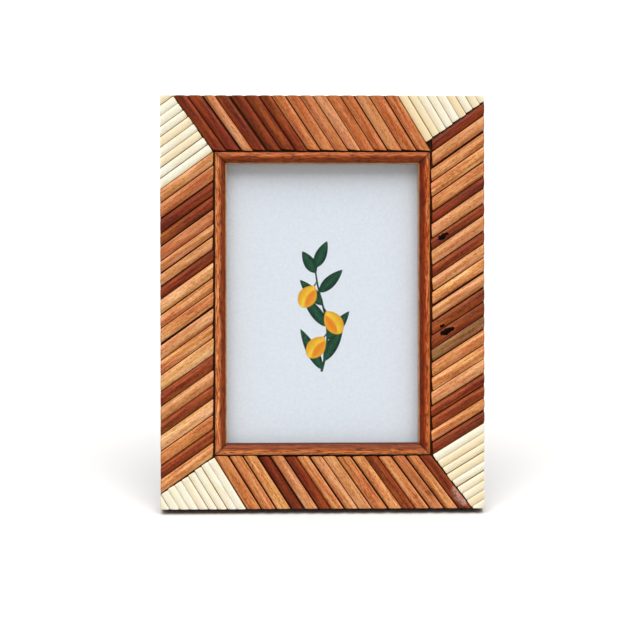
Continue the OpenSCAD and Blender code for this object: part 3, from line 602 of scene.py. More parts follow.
def strip_tree():
    """A crowned bar for each place, stretched between its four corners and cut at the outline."""
    tree, given = new_tree("laid strips", steps_along="Int", steps_across="Int", base="Float",
                           edge_height="Float", crown="Float", crown_power="Float",
                           end_round="Float", inner_round="Float", waviness="Float",
                           middle="Vector", half_size="Vector", seed="Int", material="Material")

    # One bar of unit size, whose points remember their shares along, across and up it
    bar = add(tree, "GeometryNodeMeshCube", {"Size": (1, 1, 1), "Vertices X": given["Steps along"],
                                             "Vertices Y": given["Steps across"], "Vertices Z": 2})
    centred = add(tree, "GeometryNodeInputPosition")
    shares = add(tree, "ShaderNodeVectorMath", {0: centred, 1: (0.5, 0.5, 0.5)}, operation="ADD")
    marked = add(tree, "GeometryNodeStoreNamedAttribute", {"Geometry": bar, "Name": "unit", "Value": shares},
                 data_type="FLOAT_VECTOR")
    laid = add(tree, "GeometryNodeInstanceOnPoints", {"Points": given["Places"], "Instance": marked})

    # Each bar comes from another place in the wood
    place = add(tree, "FunctionNodeRandomValue", {"Min": (0, 0, 0), "Max": [WOOD_SPAN] * 3,
                                                  "Seed": given["Seed"]}, data_type="FLOAT_VECTOR")
    sawn = add(tree, "GeometryNodeStoreNamedAttribute", {"Geometry": laid, "Name": "board", "Value": place},
               data_type="FLOAT_VECTOR", domain="INSTANCE")
    real = add(tree, "GeometryNodeRealizeInstances", {"Geometry": sawn})

    held = {name: add(tree, "GeometryNodeInputNamedAttribute", {"Name": name}, data_type="FLOAT_VECTOR")
            for name in ("unit", "board", "outer_low", "outer_high", "inner_low", "inner_high")}
    unit = add(tree, "ShaderNodeSeparateXYZ", {"Vector": held["unit"]}).outputs
    ends = [add(tree, "ShaderNodeMix", {"Factor": unit["Y"], "A": held[end + "_low"],
                                        "B": held[end + "_high"]}, data_type="VECTOR")
            for end in ("outer", "inner")]
    run = add(tree, "ShaderNodeVectorMath", {0: ends[1], 1: ends[0]}, operation="SUBTRACT")
    way = add(tree, "ShaderNodeVectorMath", {0: run}, operation="NORMALIZE")
    offset = from_middle(tree, unit["Y"])
    corner = add(tree, "ShaderNodeMath", {0: offset, 1: CORNER_POWER}, operation="POWER")
    rounded, drawn_in = (
        add(tree, "ShaderNodeMath", {0: corner, 1: given[size], 2: past_outline(tree, given, end, way)},
            operation="MULTIPLY_ADD") for end, size in zip(ends, ("End round", "Inner round")))
    length = add(tree, "ShaderNodeVectorMath", {0: run}, operation="LENGTH").outputs["Value"]
    room = add(tree, "ShaderNodeMath", {0: length, 1: drawn_in}, operation="SUBTRACT")
    begun = add(tree, "ShaderNodeMath", {0: rounded, 1: room}, operation="MINIMUM")
    inward = add(tree, "ShaderNodeVectorMath", {0: way, "Scale": begun}, operation="SCALE")
    outward = add(tree, "ShaderNodeVectorMath", {0: way, "Scale": drawn_in}, operation="SCALE")
    start = add(tree, "ShaderNodeVectorMath", {0: ends[0], 1: inward}, operation="ADD")
    end = add(tree, "ShaderNodeVectorMath", {0: ends[1], 1: outward}, operation="SUBTRACT")
    plan = add(tree, "ShaderNodeMix", {"Factor": unit["X"], "A": start, "B": end}, data_type="VECTOR")
    for towards, stop in (("ADD", "MINIMUM"), ("SUBTRACT", "MAXIMUM")):
        limit = add(tree, "ShaderNodeVectorMath", {0: given["Middle"], 1: given["Half size"]},
                    operation=towards)
        plan = add(tree, "ShaderNodeVectorMath", {0: plan, 1: limit}, operation=stop)

    # Places in the wood in millimetres, along and across the bar
    ways = add(tree, "ShaderNodeSeparateXYZ", {"Vector": way}).outputs
    turned = add(tree, "ShaderNodeMath", {0: ways["Y"], 1: -1}, operation="MULTIPLY")
    side = add(tree, "ShaderNodeCombineXYZ", {"X": turned, "Y": ways["X"]})
    along = add(tree, "ShaderNodeVectorMath", {0: plan, 1: way}, operation="DOT_PRODUCT").outputs["Value"]
    across = add(tree, "ShaderNodeVectorMath", {0: plan, 1: side}, operation="DOT_PRODUCT").outputs["Value"]
    flat = add(tree, "ShaderNodeCombineXYZ", {"X": along, "Y": across})
    in_board = add(tree, "ShaderNodeVectorMath", {0: flat, 1: held["board"]}, operation="ADD")

    # The crown rises from both long edges, and hand planing leaves it slightly wavy
    fall = add(tree, "ShaderNodeMath", {0: offset, 1: given["Crown power"]}, operation="POWER")
    rise = add(tree, "ShaderNodeMath", {0: 1, 1: fall}, operation="SUBTRACT")
    crowned = add(tree, "ShaderNodeMath", {0: rise, 1: given["Crown"], 2: given["Edge height"]},
                  operation="MULTIPLY_ADD")
    wave = add(tree, "ShaderNodeTexNoise", {"Vector": in_board, "Scale": PLANING_SCALE, "Detail": 1})
    dip = add(tree, "ShaderNodeMath", {0: wave, 1: given["Waviness"]}, operation="MULTIPLY")
    planed = add(tree, "ShaderNodeMath", {0: crowned, 1: dip}, operation="SUBTRACT")
    height = add(tree, "ShaderNodeMath", {0: planed, 1: unit["Z"], 2: given["Base"]},
                 operation="MULTIPLY_ADD")
    lift = add(tree, "ShaderNodeCombineXYZ", {"Z": height})
    spot = add(tree, "ShaderNodeVectorMath", {0: plan, 1: lift}, operation="ADD")
    grain = add(tree, "ShaderNodeVectorMath", {0: in_board, 1: lift}, operation="ADD")
    grained = add(tree, "GeometryNodeStoreNamedAttribute",
                  {"Geometry": real, "Name": "grain", "Value": grain}, data_type="FLOAT_VECTOR")
    shaped = add(tree, "GeometryNodeSetPosition", {"Geometry": grained, "Position": spot})
    smooth = add(tree, "GeometryNodeSetShadeSmooth", {"Geometry": shaped})
    whole = add(tree, "GeometryNodeRealizeInstances", {"Geometry": smooth})
    coated = add(tree, "GeometryNodeSetMaterial", {"Geometry": whole, "Material": given["Material"]})
    add(tree, "NodeGroupOutput", {"Pieces": coated})
    return tree


STRIP_TREE = strip_tree()
# How unevenly the strips are cut by hand, in millimetres: how much shorter they end than drawn,
# how much more at one corner where the saw ran off square, and how much wider a seam may be
SLAT_CUT = {"top": (-0.45, 0.35), "right": (-0.4, 0.75), "bottom": (-0.45, 0.35), "left": (0, 0.6)}
SLAT_SKEW = {"top": 1.1, "right": 0.9, "bottom": 0.5, "left": 0.6}
SLAT_PLAY = {"top": 1.1, "right": 1.2, "bottom": 1, "left": 1}
BONE_CUT = (-0.1, 0.4)
BONE_SKEW = 0.4
BONE_PLAY = 0.35
# How much the strips' edges are rounded
SLAT_EDGE = 0.3
BONE_EDGE = 0.2
# How much the outer ends of each rail's slats are rounded, in millimetres, and the slats' tones
# from -1, dark, to 1, pale
END_ROUND = {"top": 0.5, "right": 0.35, "bottom": 0.15, "left": 0.35}
TONES = {"top": (-1, -0.5), "right": (-0.4, 0.4), "bottom": (-0.5, 0.2), "left": (-0.3, 0.5)}
# The slats that stand out from their rail as pale or deep, counted from its left end or its foot
PALE_SLATS = {"top": (), "right": (3, 5, 11, 19), "bottom": (2, 10, 11), "left": (3, 4, 6, 7, 12)}
DEEP_SLATS = {"top": (4, 9), "right": (17, 22), "bottom": (3, 5, 13), "left": (13, 16, 18, 19)}
chance = random.Random(31)


def at_outline(point):
    low = point - OUTER_LOW.to_2d()
    high = OUTER_HIGH.to_2d() - point
    return min(*low, *high) < SNAP


def slat_corners(points, axis):
    """A slat's corners: outer low, outer high, inner high and inner low, as its rail runs."""
    foot = [p.to_2d() for p in points if abs(p.z - CORE_T) < SNAP]
    outer = sorted((p for p in foot if at_outline(p)), key=lambda p: p[axis])
    inner = sorted((p for p in foot if not at_outline(p)), key=lambda p: p[axis])
    return outer[0], outer[-1], inner[-1], inner[0]


def rail_slats(rail, axis):
    """Every slat of a rail in order, as (its corners, the CAD node it belongs to)."""
    nodes = [name for name in frame["nodes"] if name.startswith(rail + "_slat")]
    slats = [(slat_corners(points, axis), node) for node in nodes for points in solids(node)]
    return sorted(slats, key=lambda slat: slat[0][0][axis])


SLATS = {rail: rail_slats(rail, axis)
         for rail, axis in (("top", 0), ("right", 1), ("bottom", 0), ("left", 1))}


def strip_places(name, strips, tones):
    """Points for the tree, one for each strip, that carry its corners, its tone, and whether its
    upper long edge is the one where the share across it is 1."""
    ordered = []
    for outer_low, outer_high, inner_high, inner_low in strips:
        if (inner_low - outer_low).cross(outer_high - outer_low) < 0:
            outer_low, outer_high, inner_high, inner_low = outer_high, outer_low, inner_low, inner_high
        ordered.append((outer_low, outer_high, inner_high, inner_low))
    mesh = new_mesh(name, [(0, 0, 0)] * len(strips))
    for i, key in enumerate(("outer_low", "outer_high", "inner_high", "inner_low")):
        mark(mesh, key, [(*corners[i], 0) for corners in ordered])
    mark(mesh, "tone", tones)
    # Which long edge is upper, for the wood's painted highlight on the upper arris and painted shade on the
    # lower one
    mark(mesh, "upper", [corners[1].y > corners[0].y for corners in ordered])
    return bench_object(mesh)


def lay(node, strips, tones, material, slot, seed, edge, **sizes):
    """Lays a CAD node's strips and makes them a piece."""
    middle = (OUTER_LOW + OUTER_HIGH).to_2d() / 2
    half = (OUTER_HIGH - OUTER_LOW).to_2d() / 2
    obj = strip_places("laid_" + node, strips, tones)
    grow(obj, STRIP_TREE, base=CORE_T, middle=(*middle, 0), half_size=(*half, 1), seed=seed,
         material=material, **sizes)
    ease(obj, edge, segments=3)
    stood(obj, "laid_" + node, nodes=[node])


WOODS = {"dark": (DARK_WOOD, "dark_wood"), "mid": (MID_WOOD, "mid_wood"),
         "light": (LIGHT_WOOD, "light_wood"), "olive": (OLIVE_WOOD, "olive_wood")}


# How a strip's seams play, as shares: a chance share is raised to this power, so that few seams are
# wide, this much is taken off it, and the seam opens up to this much more towards one end
SEAM_POWER = 6
SEAM_TIGHT = 0.14
SEAM_TAPER = 0.15


def hand_cut(corners, shortest, skew, play):
    """A strip sawn a little short at its inner end, not quite square, and a few seams left wide."""
    outer_low, outer_high, inner_high, inner_low = corners
    back = (outer_low - inner_low).normalized()
    across = (outer_high - outer_low).normalized()
    low, high = (play * (chance.random() ** SEAM_POWER - SEAM_TIGHT) for edge in range(2))
    pull = [across * (edge + play * chance.uniform(0, SEAM_TAPER)) for edge in (low, high, high, low)]
    short = chance.uniform(*shortest)
    return (outer_low + pull[0], outer_high - pull[1], inner_high + back * short - pull[2],
            inner_low + back * (short + skew * chance.uniform(0.4, 1)) + pull[3])


def slat_tone(rail, index):
    if index in PALE_SLATS[rail]:
        return 1
    return -1 if index in DEEP_SLATS[rail] else chance.uniform(*TONES[rail])


def lay_slats():
    """The wooden slats, one piece for each rail and wood."""
    for seed, (rail, slats) in enumerate(SLATS.items()):
        unevenness = (SLAT_CUT[rail], SLAT_SKEW[rail], SLAT_PLAY[rail])
        sawn = [(hand_cut(corners, *unevenness), node, slat_tone(rail, index))
                for index, (corners, node) in enumerate(slats)]
        for node in sorted({node for corners, node in slats}):
            material, slot = WOODS[node.rsplit("_", 1)[1]]
            lay(node, [corners for corners, name, tone in sawn if name == node],
                [tone for corners, name, tone in sawn if name == node], material, slot, seed, SLAT_EDGE,
                steps_along=26, steps_across=15, edge_height=SLAT_EDGE_H, crown=SLAT_CROWN,
                crown_power=2.5, end_round=END_ROUND[rail], inner_round=0.5, waviness=0.16)


def crossing(a, way, b, other_way):
    """Where the line through a meets the line through b."""
    return a + way * ((b - a).cross(other_way) / way.cross(other_way))


def seam_ways(seam, corner):
    """The way along a seam, and the way across it towards the frame's corner."""
    way = (seam[1] - seam[0]).normalized()
    side = Vector((-way.y, way.x))
    return way, side * math.copysign(1, (corner - seam[0]).dot(side))


def bone_strips(corner, base, stop, count):
    """Strips laid beside a seam, out to the frame's corner, and ended at another seam.
    Each seam is a slat's long edge, from its outer end to its inner end."""
    way, side = seam_ways(base, corner)
    stop_way, stop_side = seam_ways(stop, corner)
    seam = base[0] + side * SLAT_GAP / 2
    pitch = (corner - seam).dot(side) / count
    far_out = way * (OUTER_HIGH - OUTER_LOW).x / 2
    strips = []
    for k in range(count):
        low, high = (seam + side * (k * pitch + shift) for shift in (BONE_GAP / 2, pitch - BONE_GAP / 2))
        end = stop[0] + stop_side * SLAT_GAP
        low_end = crossing(low, way, end, stop_way)
        high_end = crossing(high, way, end, stop_way)
        corners = (low - far_out, high - far_out, high_end, low_end)
        strips.append(hand_cut(corners, BONE_CUT, BONE_SKEW, BONE_PLAY))
    return strips


def long_edge(rail, index, high):
    """A slat's higher or lower long edge, as its rail runs, from its outer to its inner end."""
    corners = SLATS[rail][index][0]
    return (corners[1], corners[2]) if high else (corners[0], corners[3])


def lay_bone():
    """The bone corners. Each follows one neighbouring rail's slats and stops at the other's, and
    has strips from some tone up to white."""
    left, top = OUTER_LOW.x, OUTER_HIGH.y
    right, bottom = OUTER_HIGH.x, OUTER_LOW.y
    corners = {
        "bone_corner_top_left": ((left, top), long_edge("left", -1, True), long_edge("top", 0, False), -1),
        "bone_corner_top_right": ((right, top), long_edge("top", -1, True), long_edge("right", -1, True), -1),
        "bone_corner_bottom_right": ((right, bottom), long_edge("right", 0, False),
                                     long_edge("bottom", -1, True), -0.6),
        "bone_corner_bottom_left": ((left, bottom), long_edge("bottom", 0, False),
                                    long_edge("left", 0, False), 0.5)}
    for seed, (node, (corner, base, stop, yellowest)) in enumerate(corners.items()):
        strips = bone_strips(Vector(corner), base, stop, len(solids(node)))
        tones = [chance.uniform(yellowest, 1) for strip in strips]
        lay(node, strips, tones, BONE, "bone", seed + len(SLATS), BONE_EDGE, steps_along=20,
            steps_across=13, edge_height=BONE_EDGE_H, crown=BONE_CROWN, crown_power=2.6,
            end_round=0.3, inner_round=0.3, waviness=0.1)


# Bead round the window

# How far sanding moved the bead's surface, as (waves in a millimetre, depth)
BEAD_WAVES = ((0.11, 0.1), (0.5, 0.05))
# How far apart the lengths are in the noise and in the wood, so that no two are alike
LENGTHS_APART = 300
BOARDS_APART = 400
ARC_STEPS = 10
STATIONS = 90
BEAD_EDGE = 0.15
# Each length's tone from -1, dark and red, to 1, pale and tan; how much painted light it has on its
# outer side and painted shade towards the window; and whether its lip is pale, rubbed bare wood with a
# painted highlight, rather than dark
BEAD_LOOKS = {"top": (-0.3, 0, 1), "right": (-0.8, 1, 1), "bottom": (0.3, 1, 0), "left": (0.25, 1, 1)}


def bead_section():
    """The bead's outline as (distance from its outer side, height over the core)."""
    section = []
    falls = ((BEAD_PEAK, BEAD_H - BEAD_OUTER_H, -1),
             (BEAD_W - BEAD_PEAK - BEAD_LIP_W, BEAD_H - BEAD_INNER_H, 1))
    for run, drop, turn in falls:
        radius = (run ** 2 + drop ** 2) / (2 * drop)
        swing = math.asin(run / radius)
        steps = [swing * i / ARC_STEPS for i in range(ARC_STEPS + 1)]
        for angle in (reversed(steps) if turn < 0 else steps[1:]):
            section.append((BEAD_PEAK + turn * radius * math.sin(angle),
                            BEAD_H - radius + radius * math.cos(angle)))
    leg_x = BEAD_W - LINING_T
    return section + [(BEAD_W, BEAD_INNER_H), (BEAD_W, -LINING_H), (leg_x, -LINING_H), (leg_x, 0), (0, 0)]


def sanded(point, turns):
    """A point of the bead's rounded top, moved a little by sanding and glueing by hand."""
    place = point + Vector((0, 0, LENGTHS_APART * turns))
    for pitch, depth in BEAD_WAVES:
        point = point + noise.noise_vector(place * pitch) * depth
    return point


def mould_bead(side, turns):
    """One mitred length of bead, turned by quarter turns from the bottom one."""
    half = WINDOW_HALF if turns % 2 == 0 else WINDOW_HALF.yx
    section = bead_section()
    points = []
    units = []
    for i in range(STATIONS + 1):
        for across, height in section:
            reach = half.x + BEAD_W - across - BEAD_MITRE_GAP / 2
            point = Vector((reach * (2 * i / STATIONS - 1), across - half.y - BEAD_W, CORE_T + height))
            points.append(sanded(point, turns) if height > BEAD_INNER_H / 2 else point)
            units.append((i / STATIONS, across / BEAD_W, 0))
    around = len(section)
    faces = [[a * around + b, a * around + (b + 1) % around, (a + 1) * around + (b + 1) % around,
              (a + 1) * around + b] for a in range(STATIONS) for b in range(around)]
    faces.append(list(range(around)))
    faces.append([STATIONS * around + b for b in reversed(range(around))])
    mesh = new_mesh("raw_bead_" + side, points, faces)
    board = Vector((BOARDS_APART * turns, 0, 0))
    mark(mesh, "unit", units)
    mark(mesh, "grain", [point + board for point in points])
    # Each length's tone, share of painted light and shade, and pale lip
    for key, value in zip(("tone", "painted_light_share", "pale_lip"), BEAD_LOOKS[side]):
        mark(mesh, key, [value] * len(points))
    middle = Matrix.Translation((*WINDOW_MID, 0))
    mesh.transform(middle @ Matrix.Rotation(math.radians(90 * turns), 4, "Z"))
    bm = bmesh.new()
    bm.from_mesh(mesh)
    bmesh.ops.recalc_face_normals(bm, faces=bm.faces)
    outward = finished_mesh("outward_bead_" + side, bm)
    bpy.data.meshes.remove(mesh)
    outward.shade_smooth()
    bead = ease(bench_object(outward), BEAD_EDGE)
    stood(bead, "moulded_bead_" + side, nodes=["bead_" + side], material=BEAD_WOOD)


# Glass, print and card

def lay_glass():
    """The glass, held a hair off the print by the rough faces of both."""
    obj = eased_copy("glass", GLASS_EDGE)
    floor_z = min(v.co.z for v in obj.data.vertices)
    for vertex in obj.data.vertices:
        if vertex.co.z < floor_z + SNAP:
            vertex.co.z += AIR_GAP
    stood(obj, "glass_pane", nodes=["glass"], material=GLASS)


def leaf_width(share):
    """Half width of a leaf at a share of its length, as a share of its greatest."""
    return math.sin(math.pi * share ** 0.8) ** 0.8


def fruit_width(share):
    """Half width of a lemon, drawn out to a blunt point at its far end."""
    return 0.97 * math.sin(math.pi * share ** 1.1) ** 0.6 + 0.12 * share ** 8


def line_width(share):
    return 1


def print_patch(bm, heart, origin, turn, size, width_at, ink, layer):
    """A flat printed shape, as long and as wide as its size, that starts at its origin."""
    rows, columns = 20, 5
    seat = Matrix.Translation((*origin, PRINT_TOP + INK_T * layer))
    seat @= Matrix.Rotation(math.radians(turn), 4, "Z")
    grid = []
    for i in range(rows + 1):
        share = i / rows
        half = size[1] / 2 * width_at(share)
        line = []
        for j in range(-columns, columns + 1):
            vert = bm.verts.new(seat @ Vector((size[0] * share, half * j / columns, 0)))
            vert[heart] = 1 - abs(j) / columns
            line.append(vert)
        grid.append(line)
    for lower, upper in zip(grid, grid[1:]):
        for j in range(2 * columns):
            face = bm.faces.new((lower[j], upper[j], upper[j + 1], lower[j + 1]))
            face.material_index = ink


# The print's lemons as (share of the stem, turn in degrees, length), and its leaves as (share of
# the stem, turn, length); angles turn left from the window's right
LEMONS = ((0.36, -128, 15), (0.6, -56, 15.5), (0.84, -122, 14.5))
LEAVES = ((0.02, 118, 27), (0.1, 62, 24), (0.3, 52, 21), (0.42, 128, 23), (0.62, 132, 20),
          (0.74, 44, 19), (0.92, 122, 15), (0.97, 66, 17))
# The branch's foot from the middle of the window, its height, how far its stem sways, and the
# widths of what is printed
BRANCH_FOOT = (-0.5, -40)
BRANCH_H = 63
BRANCH_SWAY = 3.5
STEM_W = 1.5
STEM_TAPER = 0.6
STEM_STEPS = 24
LEAF_W = 6.8
LEMON_W = 11
LEMON_STALK = (3.4, 0.8)
# Where a lemon and the orange blush on its side start from the stem, how far the blush lies from
# the middle, how much shorter it is than the lemon, and its width
LEMON_START = 3
BLUSH_START = 5
BLUSH_SIDE = 1.7
BLUSH_SHORTER = 4
BLUSH_W = 4.6
# How much longer each piece of the stem is drawn, to meet the next, and the heights of the layers
# of ink, in layers: leaves lie on one another, the stem over them, and the fruits over all
STEM_OVERLAP = 1.04
LEAF_LAYER = 0.03
STEM_LAYER = 1.5
LEMON_LAYER = 2
BLUSH_LAYER = 2.6


def print_branch():
    """A printed branch of lemons with long dark leaves."""
    bm = bmesh.new()
    heart = bm.verts.layers.float.new("heart")
    foot = WINDOW_MID + Vector(BRANCH_FOOT)

    def stem_at(share):
        return foot + Vector((BRANCH_SWAY * math.sin(math.pi * share * 1.5), BRANCH_H * share))

    for i, (share, turn, length) in enumerate(LEAVES):
        print_patch(bm, heart, stem_at(share), turn, (length, LEAF_W), leaf_width, 0, 1 + LEAF_LAYER * i)
    for i in range(STEM_STEPS):
        a, b = (stem_at(step / STEM_STEPS) for step in (i, i + 1))
        turn = math.degrees(math.atan2(b.y - a.y, b.x - a.x))
        size = ((b - a).length * STEM_OVERLAP, STEM_W - STEM_TAPER * i / STEM_STEPS)
        print_patch(bm, heart, a, turn, size, line_width, 0, STEM_LAYER)
    for share, turn, length in LEMONS:
        way = Vector((math.cos(math.radians(turn)), math.sin(math.radians(turn))))
        side = Vector((-way.y, way.x)) * math.copysign(BLUSH_SIDE, way.x)
        start = stem_at(share)
        print_patch(bm, heart, start, turn, LEMON_STALK, line_width, 0, STEM_LAYER)
        print_patch(bm, heart, start + way * LEMON_START, turn, (length, LEMON_W), fruit_width, 1,
                    LEMON_LAYER)
        print_patch(bm, heart, start + way * BLUSH_START - side, turn, (length - BLUSH_SHORTER, BLUSH_W),
                    fruit_width, 2, BLUSH_LAYER)
    mesh = finished_mesh("flat_branch", bm)
    for material in (LEAF_INK, YELLOW_INK, ORANGE_INK):
        mesh.materials.append(material)
    obj = bench_object(mesh)
    body = obj.modifiers.new("ink", "SOLIDIFY")
    body.thickness = INK_T
    body.offset = -1
    stood(obj, "printed_branch")


# Screws, rivets and nails

def fastener_tree():
    """A domed fastener at each place, its head standing towards the back, with or without a cross."""
    tree, given = new_tree("domed fasteners", head_radius="Float", head_height="Float",
                           shank_radius="Float", shank_length="Float", cross_width="Float",
                           material="Material")
    ball = add(tree, "GeometryNodeMeshUVSphere", {"Segments": 40, "Rings": 24, "Radius": 1})
    place = add(tree, "GeometryNodeInputPosition")
    below = add(tree, "ShaderNodeVectorMath", {0: place, 1: (1, 1, 0)}, operation="MINIMUM")
    head_size = add(tree, "ShaderNodeCombineXYZ", {"X": given["Head radius"], "Y": given["Head radius"],
                                                   "Z": given["Head height"]})
    domed = add(tree, "ShaderNodeVectorMath", {0: below, 1: head_size}, operation="MULTIPLY")
    head = add(tree, "GeometryNodeSetPosition", {"Geometry": ball, "Position": domed})

    slot_size = [add(tree, "ShaderNodeCombineXYZ", {"X": x, "Y": y, "Z": given["Head height"]})
                 for x, y in ((given["Head radius"], given["Cross width"]),
                              (given["Cross width"], given["Head radius"]))]
    slots = [add(tree, "GeometryNodeMeshCube", {"Size": size}) for size in slot_size]
    joined = add(tree, "GeometryNodeJoinGeometry")
    for slot in reversed(slots):
        tree.links.new(slot.outputs["Mesh"], joined.inputs["Geometry"])
    drop = add(tree, "ShaderNodeMath", {0: given["Head height"], 1: -1}, operation="MULTIPLY")
    sunk = add(tree, "ShaderNodeCombineXYZ", {"Z": drop})
    cross = add(tree, "GeometryNodeTransform", {"Geometry": joined, "Translation": sunk})
    crossed = add(tree, "GeometryNodeMeshBoolean", {"Mesh 1": head, "Mesh 2": cross},
                  operation="DIFFERENCE")
    has_cross = add(tree, "ShaderNodeMath", {0: given["Cross width"], 1: 0}, operation="GREATER_THAN")
    capped = add(tree, "GeometryNodeSwitch", {"Switch": has_cross, "False": head, "True": crossed},
                 input_type="GEOMETRY")

    rod = add(tree, "GeometryNodeMeshCylinder", {"Vertices": 24, "Radius": given["Shank radius"],
                                                 "Depth": given["Shank length"]})
    half = add(tree, "ShaderNodeMath", {0: given["Shank length"], 1: 0.5}, operation="MULTIPLY")
    up = add(tree, "ShaderNodeCombineXYZ", {"Z": half})
    shank = add(tree, "GeometryNodeTransform", {"Geometry": rod, "Translation": up})
    whole = add(tree, "GeometryNodeJoinGeometry")
    for part in (capped, shank):
        output = next(s for s in part.outputs if s.enabled)
        tree.links.new(output, whole.inputs["Geometry"])
    driven = add(tree, "GeometryNodeInstanceOnPoints", {"Points": given["Places"], "Instance": whole})
    real = add(tree, "GeometryNodeRealizeInstances", {"Geometry": driven})
    smooth = add(tree, "GeometryNodeSetShadeSmooth", {"Geometry": real})
    coated = add(tree, "GeometryNodeSetMaterial", {"Geometry": smooth, "Material": given["Material"]})
    add(tree, "NodeGroupOutput", {"Pieces": coated})
    return tree


FASTENER_TREE = fastener_tree()


def drive(node, body, head_h, shank_r, cross_w):
    """Fasteners where a CAD node's solids are, with heads and shanks of their size."""
    boxes = [extent(points) for points in solids(node, body)]
    low, high = boxes[0]
    places = [((a.x + b.x) / 2, (a.y + b.y) / 2, a.z + head_h) for a, b in boxes]
    mesh = new_mesh("places_" + node, places)
    obj = grow(bench_object(mesh), FASTENER_TREE, head_radius=(high.x - low.x) / 2, head_height=head_h,
               shank_radius=shank_r, shank_length=high.z - low.z - head_h, cross_width=cross_w,
               material=ZINC)
    stood(ease(obj, HEAD_EDGE), "driven_" + node, body, [node])


# Putting the frame together

# How much the sawn, cut and stamped edges are rounded
GLASS_EDGE = 0.25
BOARD_EDGE = 0.35
STRUT_EDGE = 0.45
RAIL_EDGE = 0.3
PAPER_EDGE = 0.05
CARD_EDGE = 0.15
STEEL_EDGE = 0.12
HEAD_EDGE = 0.08
# Steel pieces by the body that they ride on. Each turn button is a body of its own.
STAMPED = {"board_hinge_leaf": "frame", "strut_hinge_leaf": "strut_arm", "hinge_pin": "frame",
           "top_hanger": "frame", "side_hanger": "frame", "mitre_nails": "frame"}
# Fasteners as (CAD node, body, the head's height, the shank's radius, the width of its cross)
FASTENERS = (("board_rivets", "frame", 0.8, 1.2, 0), ("strut_rivets", "strut_arm", 0.8, 1.2, 0),
             ("button_screws", "frame", 1.6, 1.4, 0.7), ("hanger_nails", "frame", 0.7, 0.7, 0))


def build_frame():
    lay_slats()
    lay_bone()
    for turns, side in enumerate(("bottom", "right", "top", "left")):
        mould_bead(side, turns)
        rail = f"core_{side}_rail"
        cut(rail, "sawn_" + rail, RAIL_EDGE, CORE_BOARD)
    lay_glass()
    cut("print", "print_sheet", PAPER_EDGE, PAPER)
    print_branch()
    cut("backing_card", "cut_card", CARD_EDGE, CARD)


def build_back():
    cut("back_board", "flocked_board", BOARD_EDGE, FLOCK)
    cut("strut", "flocked_strut", STRUT_EDGE, FLOCK, "strut_arm")
    buttons = {node: node for node in frame["nodes"] if node.startswith("turn_button_")}
    for node, body in (STAMPED | buttons).items():
        cut(node, "stamped_" + node, STEEL_EDGE, ZINC, body)
    for fastener in FASTENERS:
        drive(*fastener)


# Room, lamps and camera

def seen_directly(tree):
    """1 where the eye looks, straight, in a mirror or through glass."""
    path = add(tree, "ShaderNodeLightPath").outputs
    mirrored = add(tree, "ShaderNodeMath", {0: path["Is Camera Ray"], 1: path["Is Glossy Ray"]},
                   operation="MAXIMUM")
    return add(tree, "ShaderNodeMath", {0: mirrored, 1: path["Is Transmission Ray"]}, operation="MAXIMUM")


# White paper sweep: a faint sheen that catches the frame's foot, and brighter where it is looked
# at, so that it is white and still shows what shades it
def paper_sweep():
    material, tree, shader = finish("white paper sweep", Base_Color=shade("#BCBBBA"), Roughness=0.4,
                                    Specular_IOR_Level=0.15)
    share = add(tree, "ShaderNodeMath", {0: seen_directly(tree), 1: SWEEP_LIFT}, operation="MULTIPLY")
    colour = add(tree, "ShaderNodeMix", {"Factor": share, "A": shade("#000000"),
                                         "B": shade("#FFFCF9")}, data_type="RGBA")
    lift = add(tree, "ShaderNodeBsdfDiffuse", {"Color": colour})
    both = add(tree, "ShaderNodeAddShader", {0: shader, 1: lift})
    tree.links.new(both.outputs["Shader"], tree.nodes["Material Output"].inputs["Surface"])
    return material


# The world's light, how much brighter the sweep is where it is looked at, and half its width in
# metres
AMBIENT = 0.3
SWEEP_LIFT = 0.4
SWEEP_HALF = 8
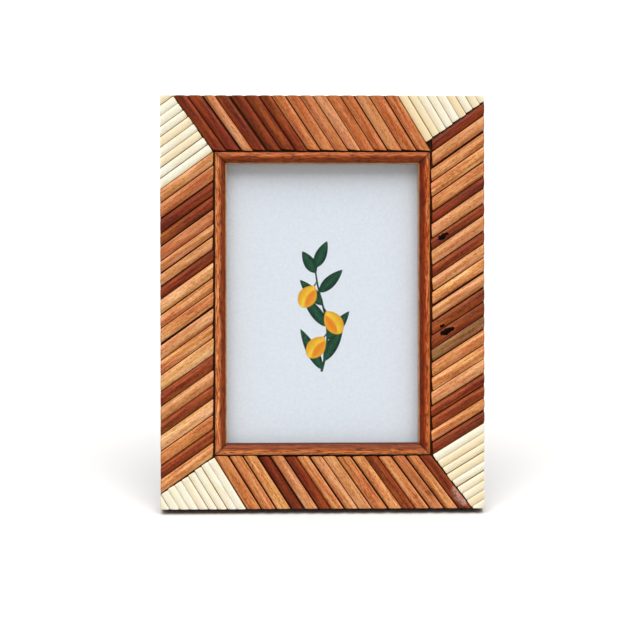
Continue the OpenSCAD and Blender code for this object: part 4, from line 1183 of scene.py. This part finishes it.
# Lamps as (name, height over the table, turn from the front to the right, strength, softness), with
# their angles in degrees
LAMPS = (("key", 68, 0, 1.75, 50), ("high_back", 74, 180, 0.5, 50), ("left_fill", 50, -55, 0.65, 40),
         ("right_fill", 50, 55, 0.65, 40))


def build_room():
    world = bpy.data.worlds.new("white room")
    world.use_nodes = True
    bpy.context.scene.world = world
    tree = world.node_tree
    strength = add(tree, "ShaderNodeMapRange", {"Value": seen_directly(tree), "To Min": AMBIENT, "To Max": 1})
    tree.links.new(strength.outputs["Result"], tree.nodes["Background"].inputs["Strength"])
    tree.nodes["Background"].inputs["Color"].default_value = shade("#FFFFFF")
    corners = [(x * SWEEP_HALF, y * SWEEP_HALF, 0) for x, y in ((-1, -1), (1, -1), (1, 1), (-1, 1))]
    mesh = new_mesh("table_sweep", corners, [(0, 1, 2, 3)])
    mesh.materials.append(paper_sweep())
    bench_object(mesh)
    for name, rise, turn, power, softness in LAMPS:
        lamp = bpy.data.lights.new(name, "SUN")
        lamp.energy = power
        lamp.angle = math.radians(softness)
        obj = bpy.data.objects.new(name, lamp)
        obj.rotation_euler = (math.radians(90 - rise), 0, math.radians(turn))
        bpy.context.scene.collection.objects.link(obj)


def photo_camera():
    yaw, pitch, roll = (math.radians(angle) for angle in (CAMERA_YAW, CAMERA_PITCH, CAMERA_ROLL))
    ahead = Vector((math.sin(yaw) * math.cos(pitch), math.cos(yaw) * math.cos(pitch), -math.sin(pitch)))
    level = Vector((math.cos(yaw), -math.sin(yaw), 0))
    upright = level.cross(ahead)
    right = level * math.cos(roll) + upright * math.sin(roll)
    up = upright * math.cos(roll) - level * math.sin(roll)
    data = bpy.data.cameras.new("photo_camera")
    data.sensor_width = SENSOR_W
    data.lens = FOCAL_PIXELS / PHOTO_SIDE * SENSOR_W
    data.clip_end = 50
    camera = bpy.data.objects.new("photo_camera", data)
    turn = Matrix((right, up, -ahead)).transposed().to_4x4()
    place = STAND @ Vector(CAMERA_TARGET) - ahead * CAMERA_DISTANCE * MM
    camera.matrix_world = Matrix.Translation(place) @ turn
    bpy.context.scene.collection.objects.link(camera)
    bpy.context.scene.camera = camera


photo_camera()
bpy.context.scene.view_settings.view_transform = "Standard"
build_room()
build_frame()
build_back()
